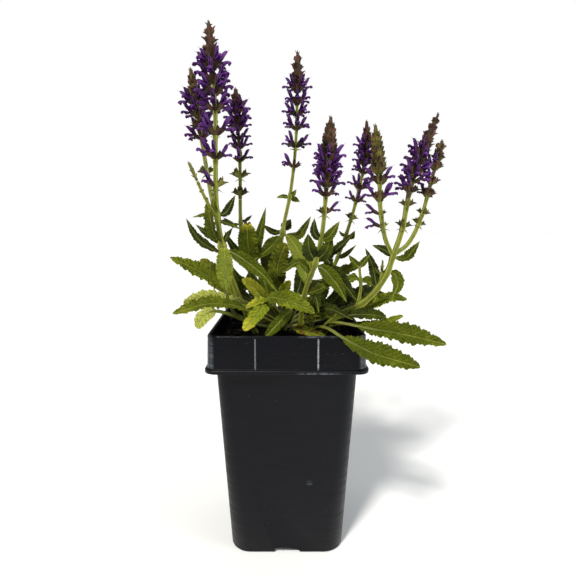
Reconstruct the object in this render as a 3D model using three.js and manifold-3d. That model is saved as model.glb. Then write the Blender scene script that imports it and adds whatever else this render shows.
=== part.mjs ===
// A perennial salvia in flower, in its square nursery pot: a deep plastic pot with potting mix, a rosette of
// toothed basal leaves, six leafy stems with their side branches, and eleven flower spikes.
// Millimetres, +Z up. The origin is the middle of the pot's underside, and -Y is the front.
import * as THREE from 'three';
import Module from 'manifold-3d';

const wasm = await Module();
wasm.setup();

// ---------------------------------------------------------------- driving dimensions

const pot = {
  height: 156,
  baseWidth: 78, // outside, above the feet
  shoulderWidth: 91, // outside, just under the band
  bandWidth: 100.6,
  lipWidth: 103.4, // the flared lip at the band's lower edge
  bandHeight: 24,
  wall: 1.3,
  footHeight: 3.8, // how far the drainage cross is raised
  crossWidth: 15,
  holeWidth: 9,
  holeReach: 23, // from the middle to each drainage hole
  ribSpacing: 39, // the two upright ribs on each side of the band
  centreFootRadius: 5,
};
const soil = { top: 145, mound: 3, gap: 0.35 };
const crown = { radius: 5.5, bottom: 138, top: 155 };

const LEAF_THICKNESS = 1.2; // at the midrib
const TOOTH_DEPTH = 0.2;
const FOLD = 0.2; // how far a blade's halves rise, per mm of half width
const BASAL_HEIGHT = 155; // leaves that start below it are basal
const BLUNT_WIDTH = 12; // blades wider than this are blunt, as the basal ones are
const SEAT_GAP = 0.3; // between a stem's end and its spike

// Directions that a blade's upper side faces.
const UP = [0, -0.35, 0.94];
const TILTED = [0, -0.62, 0.78];
const FRONT = [0, -0.97, 0.24];
const BACK = [0, 0.5, 0.86];

// Every stem: the points its axis runs through, its radius at the foot and at the tip, and its spike, if it has
// one. A spike is measured down from its tip: the length and width of its bud cone, the distance to each whorl,
// how many of the highest whorls are still closed and of the lowest are in calyx only, and the size of its
// flowers.
const stems = {
  a: {
    node: 'leafy_stem_a', radius: [2.3, 1.0],
    path: [
      [-18, -4, 138], [-27, -7, 158], [-35, -13, 180], [-42, -19, 205], [-46, -20, 235], [-46, -19, 270],
      [-46, -17, 300], [-50, -10, 354],
    ],
    spike: {
      bud: 23, coneWidth: 10.4, whorls: [24, 31, 41, 49, 60, 75, 90, 107],
      closed: 1, spent: 1, size: 1.12, seed: 11,
    },
  },
  b: {
    node: 'leafy_stem_a', radius: [1.7, 0.9],
    path: [[-46, -20, 229], [-51, -12, 246], [-57, -5, 278], [-65, 2, 329]],
    spike: {
      bud: 19, coneWidth: 6.8, whorls: [20, 27, 35, 43, 50, 73],
      closed: 1, spent: 1, size: 1.04, seed: 12,
    },
  },
  j: {
    node: 'leafy_stem_a', radius: [1.2, 0.8],
    path: [[-46, -20, 228], [-51, -28, 239], [-56, -31, 251], [-61, -32, 263]],
    spike: { bud: 15, coneWidth: 5.2, whorls: [], closed: 0, spent: 0, size: 1.15, seed: 13 },
  },
  c: {
    node: 'leafy_stem_c', radius: [1.9, 0.9],
    path: [[-8, 11, 138], [-20, 17, 170], [-31, 21, 198], [-35, 24, 226], [-35, 25, 268], [-37, 22, 321]],
    spike: {
      bud: 13, coneWidth: 8.0, whorls: [14, 18, 24, 29, 36, 43, 52, 63, 76],
      closed: 1, spent: 2, size: 0.95, seed: 14,
    },
  },
  d: {
    node: 'leafy_stem_d', radius: [1.9, 0.9],
    path: [
      [2, 11, 138], [-2, 17, 170], [-5, 23, 196], [-3, 28, 220], [3, 33, 250], [7, 36, 290], [8, 36, 350],
    ],
    spike: {
      bud: 20, coneWidth: 10.4, whorls: [21, 28, 37, 46, 56, 69, 84],
      closed: 1, spent: 0, size: 1.0, seed: 15,
    },
  },
  e: {
    node: 'leafy_stem_e', radius: [2.1, 1.0],
    path: [[8, -9, 138], [12, -15, 176], [19, -18, 198], [24, -18, 222], [27, -14, 262], [29, -10, 294]],
    spike: {
      bud: 18, coneWidth: 9.2, whorls: [19, 25, 30, 36, 41, 47, 53, 64],
      closed: 2, spent: 1, size: 1.0, seed: 16,
    },
  },
  f: {
    node: 'leafy_stem_f', radius: [1.8, 0.9],
    path: [
      [15, 10, 138], [26, 17, 170], [38, 23, 197], [46, 27, 218], [53, 30, 242], [60, 33, 275],
      [60, 33, 302],
    ],
    spike: {
      bud: 15, coneWidth: 7.6, whorls: [16, 22, 28, 34, 41, 53, 63, 76],
      closed: 1, spent: 1, size: 0.92, seed: 17,
    },
  },
  g: {
    node: 'leafy_stem_g', radius: [2.3, 1.9],
    path: [[21, -3, 138], [34, -8, 159], [54, -12, 171], [67, -14, 188], [73, -12, 204]],
  },
  g1: {
    node: 'leafy_stem_g', name: 'g', radius: [1.6, 1.1],
    path: [[72.4, -12.2, 202], [66, -14, 216], [62, -16, 236], [61, -15, 257], [58, -12, 288]],
    spike: {
      bud: 23, coneWidth: 9.4, whorls: [25, 32, 40, 49, 60, 67],
      closed: 3, spent: 0, size: 1.0, seed: 18,
    },
  },
  h: {
    node: 'leafy_stem_g', radius: [1.9, 1.0],
    path: [[72.6, -12.2, 202.5], [79, -9, 221], [84, -5, 246], [94, 1, 275], [105, 6, 300]],
    spike: {
      bud: 27, coneWidth: 8.4, whorls: [28, 33, 39, 46, 53, 60, 68, 82],
      closed: 1, spent: 1, size: 1.02, seed: 19,
    },
  },
  i: {
    node: 'leafy_stem_g', radius: [1.6, 0.9],
    path: [[72, -12, 203], [84, -7, 211], [94, 0, 228], [101, 4, 252], [110, 10, 283]],
    spike: {
      bud: 14, coneWidth: 7.6, whorls: [15, 22, 33, 42, 55, 63],
      closed: 1, spent: 2, size: 0.9, seed: 20,
    },
  },
  k: {
    node: 'leafy_stem_g', radius: [1.0, 0.7],
    path: [[62, -13.6, 181], [66, -6, 187], [69, 3, 199]],
    spike: { bud: 8, coneWidth: 3.2, whorls: [], closed: 0, spent: 0, size: 0.7, seed: 21 },
  },
  p: {
    node: 'leafy_stem_g', radius: [1.4, 0.8],
    path: [[49, -11.2, 168], [52, -6, 180], [51, -4, 195]],
  },
};

// Every leaf: the stem it grows on, the height of its foot there, the points its midrib runs through as far as
// its tip, its full width and the direction it faces. Leaves that start low are basal, with long stalks, and a
// last number sets the share of the leaf that is stalk.
const leaves = [
  ['crown', 152, [[-30, -14, 160], [-37, -26, 170], [-39, -33, 184], [-39, -36, 197],
    [-39, -37, 210]], 11.5, FRONT, 0.7],
  ['crown', 151, [[-34, -6, 172], [-51, -9, 186], [-67, -14, 196], [-79, -15, 202]], 14, TILTED, 0.43],
  ['crown', 153, [[-34, 8, 173], [-53, 14, 188], [-65, 18, 198]], 13, TILTED],
  ['crown', 150, [[-22, -16, 168], [-43, -27, 175], [-53, -32, 178], [-66, -36, 174]], 11, TILTED, 0.42],
  ['crown', 149, [[-20, -18, 163], [-36, -30, 172], [-51, -44, 175], [-70, -48, 170]], 12, TILTED, 0.42],
  ['crown', 148, [[-14, -10, 153], [-28, -20, 159], [-38, -34, 167],
    [-45, -46, 171], [-50, -55, 169], [-53, -58, 163]], 9, FRONT, 0.77],
  ['crown', 150, [[-9, -16, 165], [-14, -27, 173], [-18, -36, 168], [-27, -43, 158]], 11, TILTED, 0.42],
  ['crown', 151, [[-8, -15, 166], [-15, -25, 174], [-26, -36, 171]], 8, UP, 0.45],
  ['crown', 153, [[-8, -18, 168], [-13, -31, 177], [1, -42, 177], [17, -51, 171]], 14, TILTED, 0.48],
  ['crown', 151, [[4, -15, 163], [2, -27, 167], [-4, -37, 163], [-13, -46, 155]], 8, FRONT, 0.45],
  ['crown', 152, [[-3, -18, 175], [2, -30, 188]], 8, FRONT],
  ['crown', 152, [[-21, -20, 181], [-29, -28, 189]], 9, FRONT],
  ['crown', 148, [[3, -26, 156], [11, -39, 157], [25, -43, 153]], 8, TILTED, 0.55],
  ['crown', 150, [[30, -4, 158], [55, -6, 165], [71, -4, 172], [86, -2, 171]], 10, TILTED, 0.5],
  ['crown', 150, [[44, 12, 168], [62, 16, 178]], 12, TILTED],
  ['crown', 151, [[54, 23, 164], [78, 34, 166]], 13, UP],
  ['crown', 152, [[24, 46, 176], [44, 74, 172]], 15, BACK],
  ['crown', 153, [[-14, 46, 176], [-18, 76, 180]], 15, BACK],
  ['crown', 151, [[-45, 33, 168], [-66, 56, 174]], 14, BACK],
  ['crown', 152, [[-48, 24, 166], [-73, 33, 166]], 12, UP],
  ['crown', 154, [[12, 24, 186], [24, 38, 206]], 13, FRONT],
  ['crown', 154, [[-12, 30, 184], [-18, 46, 206]], 13, FRONT],
  ['crown', 154, [[9, 8, 178], [12, 14, 194]], 9, FRONT],
  ['crown', 153, [[20, 4, 168], [29, 10, 181]], 9, FRONT],
  ['crown', 152, [[34, 4, 168], [45, 8, 185]], 9, FRONT],
  ['a', 209, [[-48, -26, 219], [-50, -30, 230], [-51, -32, 241]], 11.5, FRONT],
  ['a', 230, [[-53, -22, 230], [-62, -19, 229]], 5, TILTED],
  ['a', 231, [[-47, -25, 236], [-46, -27, 242]], 4, FRONT],
  ['a', 230, [[-40, -18, 232], [-34, -17, 243]], 6, FRONT],
  ['a', 227, [[-37, -22, 224], [-30, -22, 221]], 5, TILTED],
  ['a', 204, [[-53, -20, 210], [-61, -18, 217], [-67, -16, 228]], 7, TILTED],
  ['a', 211, [[-53, -13, 217], [-63, -5, 224]], 6, TILTED],
  ['a', 210, [[-40, -18, 216], [-36, -17, 222]], 4, FRONT],
  ['a', 208, [[-31, -24, 203], [-17, -28, 193], [-6, -27, 180]], 9.5, FRONT],
  ['c', 186, [[-27, 7, 198], [-28, 4, 212], [-28, 2, 227]], 12.5, FRONT],
  ['c', 190, [[-24, 12, 202], [-20, 10, 216], [-15, 6, 236]], 8, FRONT],
  ['c', 224, [[-41, 20, 224], [-47, 17, 229]], 5, TILTED],
  ['c', 225, [[-31, 28, 227], [-27, 30, 231]], 4, TILTED],
  ['c', 197, [[-40, 14, 208], [-45, 8, 219]], 6, FRONT],
  ['c', 188, [[-38, 32, 200], [-48, 42, 212]], 9, TILTED],
  ['c', 176, [[-34, 2, 184], [-40, -2, 196]], 9, FRONT],
  ['d', 218, [[4, 20, 211], [11, 6, 199], [15, -8, 182]], 13, FRONT],
  ['d', 217, [[-7, 24, 213], [-14, 10, 206], [-25, 2, 198]], 11, FRONT],
  ['d', 219, [[-10, 25, 218], [-19, 22, 224]], 5, FRONT],
  ['d', 216, [[8, 26, 215], [13, 24, 221], [18, 22, 230]], 7, FRONT],
  ['d', 219, [[0, 35, 223], [3, 38, 228]], 9, FRONT],
  ['d', 244, [[-3, 30, 245], [-8, 27, 244]], 3.5, FRONT],
  ['d', 244, [[6, 33, 243], [10, 32, 241]], 4.5, FRONT],
  ['d', 245, [[5, 30, 247], [7, 28, 250]], 4, FRONT],
  ['d', 176, [[-7, 6, 186], [-6, 5, 197], [-1, 2, 211]], 12, FRONT],
  ['d', 184, [[-9, 14, 194], [-9, 9, 206]], 9, FRONT],
  ['d', 190, [[6, 22, 198], [11, 24, 210]], 8, FRONT],
  ['e', 213, [[18, -22, 219], [18, -22, 228]], 6, FRONT],
  ['e', 213, [[28, -24, 217], [34, -26, 226]], 7, FRONT],
  ['e', 199, [[15, -22, 207], [14, -20, 218]], 11, FRONT],
  ['e', 199, [[26, -22, 207], [30, -20, 217]], 9, FRONT],
  ['e', 198, [[32, -15, 206], [45, -8, 217]], 8, TILTED],
  ['e', 197, [[25, -22, 194], [33, -27, 185], [39, -30, 174]], 9, FRONT],
  ['e', 197, [[29, -20, 194], [38, -24, 185], [47, -26, 173]], 8, FRONT],
  ['e', 190, [[8, -21, 199], [-3, -20, 192]], 8, TILTED],
  ['e', 176, [[24, -20, 182], [34, -20, 188]], 8, TILTED],
  ['e', 149, [[22, -44, 161], [35, -55, 156], [49, -62, 150], [62, -68, 147], [75, -75, 145]], 15, TILTED, 0.53],
  ['e', 158, [[26, -28, 169], [42, -38, 164]], 10, TILTED],
  ['e', 152, [[19, -27, 165], [31, -31, 165]], 7, TILTED],
  ['e', 168, [[18, -34, 178], [20, -44, 170]], 9, UP],
  ['f', 216, [[42, 26, 216], [40, 25, 219]], 4, TILTED],
  ['f', 216, [[49, 24, 214], [51, 22, 219]], 6, TILTED],
  ['f', 188, [[40, 18, 188], [50, 16, 192], [60, 14, 197]], 10.5, TILTED],
  ['f', 198, [[44, 15, 202], [51, 12, 209]], 4, FRONT],
  ['f', 190, [[30, 27, 200], [27, 30, 212]], 9, FRONT],
  ['f', 178, [[36, 30, 186], [52, 40, 190]], 10, TILTED],
  ['g', 202, [[66, -14, 207], [58, -13, 210]], 6, FRONT],
  ['g', 202, [[80, -18, 202], [88, -20, 213]], 8, TILTED],
  ['g', 192, [[74, -14, 190], [75, -18, 183], [71, -19, 175]], 9, FRONT],
  ['g', 180, [[62, 4, 194], [57, 8, 207]], 8, FRONT],
  ['g', 170, [[62, 3, 176], [77, 9, 168]], 10, TILTED],
  ['g', 154, [[40, -22, 163], [54, -27, 165], [65, -31, 164]], 10, TILTED],
  ['g', 151, [[39, -20, 157], [60, -28, 159], [76, -31, 165]], 6, TILTED],
  ['g', 150, [[30, -36, 162], [50, -44, 160], [68, -54, 159], [93, -64, 155]], 14, TILTED, 0.47],
  ['k', 188, [[64, -4, 191], [62, -4, 194]], 2.5, FRONT],
  ['k', 188, [[69, -4, 191], [72, -4, 194]], 2.5, FRONT],
  ['p', 193, [[46, -6, 199], [43, -6, 203]], 5, FRONT],
  ['p', 193, [[55, -3, 199], [59, -2, 203]], 5, FRONT],
  ['p', 186, [[46, -9, 187], [40, -14, 183]], 8, TILTED],
  ['p', 184, [[57, -4, 184], [63, -5, 180]], 8, TILTED],
];

// ---------------------------------------------------------------- small tools

const V = (p) => new THREE.Vector3(...p);

// A repeatable draw from 0 to 1.
function draws(seed) {
  let state = seed * 7919;
  return () => {
    state = (state * 16807) % 2147483647;
    return state / 2147483647;
  };
}

// A closed solid from points and triangles, turned the right way out.
function solidOf(points, faces) {
  const build = (list) => new wasm.Manifold(new wasm.Mesh({
    numProp: 3,
    vertProperties: new Float32Array(points.flatMap((p) => [p.x, p.y, p.z])),
    triVerts: new Uint32Array(list.flat()),
  }));
  const made = build(faces);
  return made.volume() > 0 ? made : build(faces.map(([a, b, c]) => [a, c, b]));
}

// Skins a row of rings that have the same number of points. A ring of one point closes an end.
function loft(rings, split = false) {
  const points = rings.flat();
  const faces = [];
  let start = 0;
  for (let k = 0; k + 1 < rings.length; k += 1) {
    const n = Math.max(rings[k].length, rings[k + 1].length);
    const next = start + rings[k].length;
    for (let i = 0; i < n; i += 1) {
      const j = (i + 1) % n;
      if (rings[k].length === 1) faces.push([start, next + j, next + i]);
      else if (rings[k + 1].length === 1) faces.push([start + i, start + j, next]);
      else if (split && i % 2) {
        faces.push([start + i, start + j, next + i], [start + j, next + j, next + i]);
      } else faces.push([start + i, start + j, next + j], [start + i, next + j, next + i]);
    }
    start = next;
  }
  const fan = (first, count, flip) => {
    for (let i = 1; i + 1 < count; i += 1) {
      faces.push(flip ? [first, first + i + 1, first + i] : [first, first + i, first + i + 1]);
    }
  };
  fan(0, rings[0].length, true);
  fan(start, rings[rings.length - 1].length, false);
  return solidOf(points, faces);
}

const union = (solids) => wasm.Manifold.union(solids);

// A named mesh from a solid.
function meshOf(name, solid, look) {
  const made = solid.getMesh();
  const geometry = new THREE.BufferGeometry();
  const positions = new Float32Array(made.numVert * 3);
  for (let i = 0; i < made.numVert; i += 1) {
    positions.set(made.vertProperties.subarray(i * made.numProp, i * made.numProp + 3), i * 3);
  }
  geometry.setAttribute('position', new THREE.BufferAttribute(positions, 3));
  geometry.setIndex(new THREE.BufferAttribute(made.triVerts, 1));
  geometry.computeVertexNormals();
  const mesh = new THREE.Mesh(geometry, new THREE.MeshStandardMaterial(look));
  mesh.name = name;
  return mesh;
}

// ---------------------------------------------------------------- the pot and its potting mix

const CORNER_STEPS = 3;

// A square outline with round corners, at a height.
function squareRing(z, half, radius) {
  const ring = [];
  for (let corner = 0; corner < 4; corner += 1) {
    const middle = (corner + 0.5) * (Math.PI / 2);
    const cx = Math.sign(Math.cos(middle)) * (half - radius);
    const cy = Math.sign(Math.sin(middle)) * (half - radius);
    for (let i = 0; i <= CORNER_STEPS; i += 1) {
      const angle = (corner + i / CORNER_STEPS) * (Math.PI / 2);
      ring.push(new THREE.Vector3(cx + radius * Math.cos(angle), cy + radius * Math.sin(angle), z));
    }
  }
  return ring;
}

const bandBottom = pot.height - pot.bandHeight;
const baseRadius = 11;
const shoulderRadius = 8;
const bandRadius = 7;

// The body's half width and corner radius at a height, inset by a distance.
function bodyRing(z, inset) {
  const share = z / bandBottom;
  const half = (pot.baseWidth + (pot.shoulderWidth - pot.baseWidth) * share) / 2;
  const radius = baseRadius + (shoulderRadius - baseRadius) * share;
  return squareRing(z, half - inset, radius - inset);
}

// The raised drainage cross: two bars under the floor, grown by a distance.
function drainageCross(grown) {
  const low = pot.crossWidth / 2 + 2 + grown;
  const high = pot.crossWidth / 2 + grown;
  const outline = new THREE.Shape([
    new THREE.Vector2(-low, -1), new THREE.Vector2(low, -1),
    new THREE.Vector2(high, pot.footHeight + grown), new THREE.Vector2(-high, pot.footHeight + grown),
  ]);
  const bar = new THREE.ExtrudeGeometry(outline, { depth: 2 * pot.baseWidth, bevelEnabled: false });
  bar.translate(0, 0, -pot.baseWidth);
  const along = bar.clone().rotateX(Math.PI / 2);
  const across = along.clone().rotateZ(Math.PI / 2);
  return union([fromGeometry(along), fromGeometry(across)]);
}

// A solid from a closed three.js geometry.
function fromGeometry(geometry) {
  const plain = geometry.index ? geometry.toNonIndexed() : geometry;
  const position = plain.getAttribute('position');
  const seen = new Map();
  const points = [];
  const corners = [];
  for (let i = 0; i < position.count; i += 1) {
    const point = new THREE.Vector3().fromBufferAttribute(position, i);
    const key = [point.x, point.y, point.z].map((value) => Math.round(value * 1000)).join();
    if (!seen.has(key)) {
      seen.set(key, points.length);
      points.push(point);
    }
    corners.push(seen.get(key));
  }
  const faces = [];
  for (let i = 0; i < corners.length; i += 3) faces.push(corners.slice(i, i + 3));
  return solidOf(points, faces);
}

function makePot() {
  const band = pot.bandWidth / 2;
  const lip = pot.lipWidth / 2;
  const outer = loft([
    bodyRing(0, 1.2), bodyRing(1.4, 0), bodyRing(bandBottom, 0),
    squareRing(bandBottom, lip - 0.4, bandRadius), squareRing(bandBottom + 0.8, lip, bandRadius),
    squareRing(bandBottom + 2.2, lip, bandRadius), squareRing(bandBottom + 3, band, bandRadius),
    squareRing(pot.height - 1, band - 0.5, bandRadius), squareRing(pot.height, band - 1, bandRadius),
  ]);
  const inner = loft([
    bodyRing(pot.wall, pot.wall), bodyRing(bandBottom, pot.wall),
    squareRing(bandBottom + 1.4, band - 2, bandRadius - 1.6),
    squareRing(pot.height + 1, band - 2.4, bandRadius - 1.6),
  ]);
  const ribs = [0, 1, 2, 3].flatMap((side) => [-1, 1].map((hand) => {
    const rib = new THREE.BoxGeometry(1, 1.6, pot.bandHeight - 4);
    rib.translate((hand * pot.ribSpacing) / 2, -band + 0.3, bandBottom + 1 + (pot.bandHeight - 3) / 2);
    return fromGeometry(rib.rotateZ((side * Math.PI) / 2));
  }));
  const holes = [0, 1, 2, 3].map((side) => {
    const hole = new THREE.CylinderGeometry(pot.holeWidth / 2, pot.holeWidth / 2, 20, 12);
    hole.rotateX(Math.PI / 2).translate(pot.holeReach, 0, 0);
    return fromGeometry(hole.rotateZ((side * Math.PI) / 2));
  });
  const foot = new THREE.CylinderGeometry(pot.centreFootRadius, pot.centreFootRadius, pot.footHeight + 0.6, 16);
  foot.rotateX(Math.PI / 2).translate(0, 0, (pot.footHeight + 0.6) / 2);
  const shell = outer.subtract(drainageCross(0)).subtract(inner.subtract(drainageCross(pot.wall)));
  return union([shell.subtract(union(holes)), fromGeometry(foot), ...ribs]);
}

// The height of the potting mix at a point: a low mound with a few lumps.
function soilHeight(x, y) {
  const away = Math.min(1, Math.hypot(x, y) / 46);
  const lumps = Math.sin(x * 0.31 + 1) * Math.cos(y * 0.27) + 0.6 * Math.sin(y * 0.53 + x * 0.17);
  return soil.top + soil.mound * (1 - away * away) + lumps * 0.7;
}

function makeSoil() {
  const inset = pot.wall + soil.gap;
  const band = pot.bandWidth / 2 - 2.4 - soil.gap;
  const ledge = squareRing(bandBottom + 2, band, bandRadius - 2);
  const surface = [1, 0.7, 0.35].map((share) => ledge.map((point) => {
    const x = point.x * share;
    const y = point.y * share;
    return new THREE.Vector3(x, y, share === 1 ? soil.top - 0.5 : soilHeight(x, y));
  }));
  const body = loft([
    bodyRing(inset, inset), bodyRing(bandBottom, inset), ledge, ...surface,
    [new THREE.Vector3(0, 0, soilHeight(0, 0))],
  ]);
  const holes = Object.values(stems).filter((stem) => stem.path[0][2] < soil.top)
    .map((stem) => stalk(stem, { to: 25, grown: soil.gap * 1.5, foot: 0.6 }));
  return body.subtract(drainageCross(pot.wall + soil.gap)).subtract(union([...holes, rootCrown(soil.gap * 1.5)]));
}

// ---------------------------------------------------------------- stems

const STEM_SIDES = 4; // a salvia's stems are square
const SIDEWAYS = new THREE.Vector3(0, 1, 0); // no stem runs along it, so it fixes how each one is turned

function curveOf(stem) {
  return new THREE.CatmullRomCurve3(stem.path.map(V), false, 'catmullrom', 0.5);
}

// The axes across a stem at a point of its curve.
function across(curve, share) {
  const along = curve.getTangentAt(share);
  const u = SIDEWAYS.clone().addScaledVector(along, -SIDEWAYS.dot(along)).normalize();
  return { along, u, v: along.clone().cross(u) };
}

function stemRing(curve, share, radius, sides = STEM_SIDES) {
  const centre = curve.getPointAt(share);
  const { u, v } = across(curve, share);
  return Array.from({ length: sides }, (_, i) => {
    const angle = ((i + 0.5) / sides) * 2 * Math.PI;
    return centre.clone()
      .addScaledVector(u, radius * Math.cos(angle))
      .addScaledVector(v, radius * Math.sin(angle));
  });
}

// A stem as a square stalk, from its foot to a length along it, grown by a distance.
function stalk(stem, { to, grown = 0, foot = 0 }) {
  const curve = curveOf(stem);
  const length = curve.getLength();
  const steps = Math.max(2, Math.round(to / 16));
  const rings = [];
  for (let i = 0; i <= steps; i += 1) {
    const share = (to * i) / steps / length;
    const radius = stem.radius[0] + (stem.radius[1] - stem.radius[0]) * share;
    const ring = stemRing(curve, share, radius * 1.2 + grown);
    if (i === 0) ring.forEach((point) => point.setZ(point.z - foot));
    rings.push(ring);
  }
  return loft(rings);
}

// Where the spike begins on its stem, as a length along the stem.
function spikeStart(stem) {
  return curveOf(stem).getLength() - (stem.spike.whorls.at(-1) ?? stem.spike.bud) - 3 * stem.spike.size;
}

function rootCrown(grown) {
  const profile = [
    [0, crown.bottom - grown], [crown.radius * 0.7 + grown, crown.bottom - grown],
    [crown.radius + grown, crown.bottom + 6], [crown.radius * 0.8 + grown, crown.top - 4],
    [crown.radius * 0.45 + grown, crown.top + grown], [0, crown.top + grown],
  ];
  const lathe = new THREE.LatheGeometry(profile.map((p) => new THREE.Vector2(...p)), 10);
  return fromGeometry(lathe.rotateX(Math.PI / 2));
}

// ---------------------------------------------------------------- leaves

// The share of its full width that a blade has along it, with its teeth.
function bladeWidth(share, blunt, notch) {
  const outline = blunt ? Math.sin(Math.PI * share ** 0.85) ** 0.5 : Math.sin(Math.PI * share ** 0.7) ** 0.9;
  return outline * (notch ? 1 - TOOTH_DEPTH : 1);
}

function stemPoint(name, height) {
  if (name === 'crown') return new THREE.Vector3(0, 0, height);
  const curve = curveOf(stems[name]);
  let low = 0;
  let high = 1;
  for (let i = 0; i < 30; i += 1) {
    const middle = (low + high) / 2;
    if (curve.getPointAt(middle).z < height) low = middle;
    else high = middle;
  }
  return curve.getPointAt(low);
}

function leafSolid([on, height, points, width, face, stalkShare], index) {
  const curve = new THREE.CatmullRomCurve3([stemPoint(on, height), ...points.map(V)], false, 'catmullrom', 0.5);
  const basal = height < BASAL_HEIGHT;
  const blunt = basal || width > BLUNT_WIDTH;
  const petiole = stalkShare ?? (basal ? 0.36 : 0.08);
  const length = curve.getLength() * (1 - petiole);
  const segments = 2 * Math.max(2, Math.min(5, Math.round(length / 13)));
  const stalkHalf = basal ? 1.1 : 0.7;
  const rings = [];
  const ringAt = (share, half, top, bottom, rise, wave) => {
    const centre = curve.getPointAt(share);
    const along = curve.getTangentAt(share);
    const side = along.clone().cross(V(face)).normalize();
    const normal = side.clone().cross(along);
    const point = (across, up) => centre.clone().addScaledVector(side, across).addScaledVector(normal, up);
    return [point(-half, rise + wave), point(0, top), point(half, rise - wave), point(0, -bottom)];
  };
  const stalkSteps = basal ? 3 : 1;
  for (let i = 0; i < stalkSteps; i += 1) {
    rings.push(ringAt((petiole * i) / stalkSteps, stalkHalf, stalkHalf * 0.7, stalkHalf, 0, 0));
  }
  for (let i = 0; i < segments; i += 1) {
    const share = i / segments;
    const half = Math.max(stalkHalf, (width / 2) * bladeWidth(share, blunt, i % 2 === 1));
    const rise = i ? FOLD * half : 0;
    const wave = 0.08 * half * Math.sin(i * 1.9 + index);
    rings.push(ringAt(petiole + (1 - petiole) * share, half, LEAF_THICKNESS * 0.3, LEAF_THICKNESS * 0.7, rise, wave));
  }
  rings.push([V(points.at(-1))]);
  return loft(rings, true);
}

// ---------------------------------------------------------------- flower spikes

// Round a whorl, in degrees: six flowers in two opposite clusters of three, and the edges of the six panels of
// the rachis that they grow from. Each whorl is turned a quarter from the one above it.
const FLOWER_TURNS = [0, 56, 124, 180, 236, 304];
const PANEL_EDGES = [-28, 28, 90, 152, 208, 270];

// Shapes of a flower at size 1, as [out along its axis, up, half width]: its calyx's mouth, and its two lips.
const OPEN_FLOWER = { mouth: [6.6, 1.7, 1.45], upper: [14.4, 2.2], lower: [11.8, -4.6] };
const CLOSED_FLOWER = { mouth: [5.4, 1.4, 1.3], upper: [7.2, 0.9], lower: [6.8, -0.7] };
const SPENT_FLOWER = { mouth: [6.2, 1.7, 1.5], upper: [8.4, 1.7], lower: [7.8, -1.5] };

// The direction that leaves a stem at an angle from its axis and a turn about it, and what is up on it.
function outward(axes, turn, angle) {
  const radial = axes.u.clone().multiplyScalar(Math.cos(turn)).addScaledVector(axes.v, Math.sin(turn));
  const out = radial.clone().multiplyScalar(Math.sin(angle)).addScaledVector(axes.along, Math.cos(angle));
  const up = axes.along.clone().multiplyScalar(Math.sin(angle)).addScaledVector(radial, -Math.cos(angle));
  return { radial, out, up };
}

// One bract: a three-sided point.
function bractSolid(centre, out, up, length, half) {
  const side = out.clone().cross(up);
  return solidOf([
    centre.clone().addScaledVector(side, half), centre.clone().addScaledVector(side, -half),
    centre.clone().addScaledVector(up, half), centre.clone().addScaledVector(out, length),
  ], [[0, 1, 2], [0, 3, 1], [1, 3, 2], [2, 3, 0]]);
}

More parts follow.
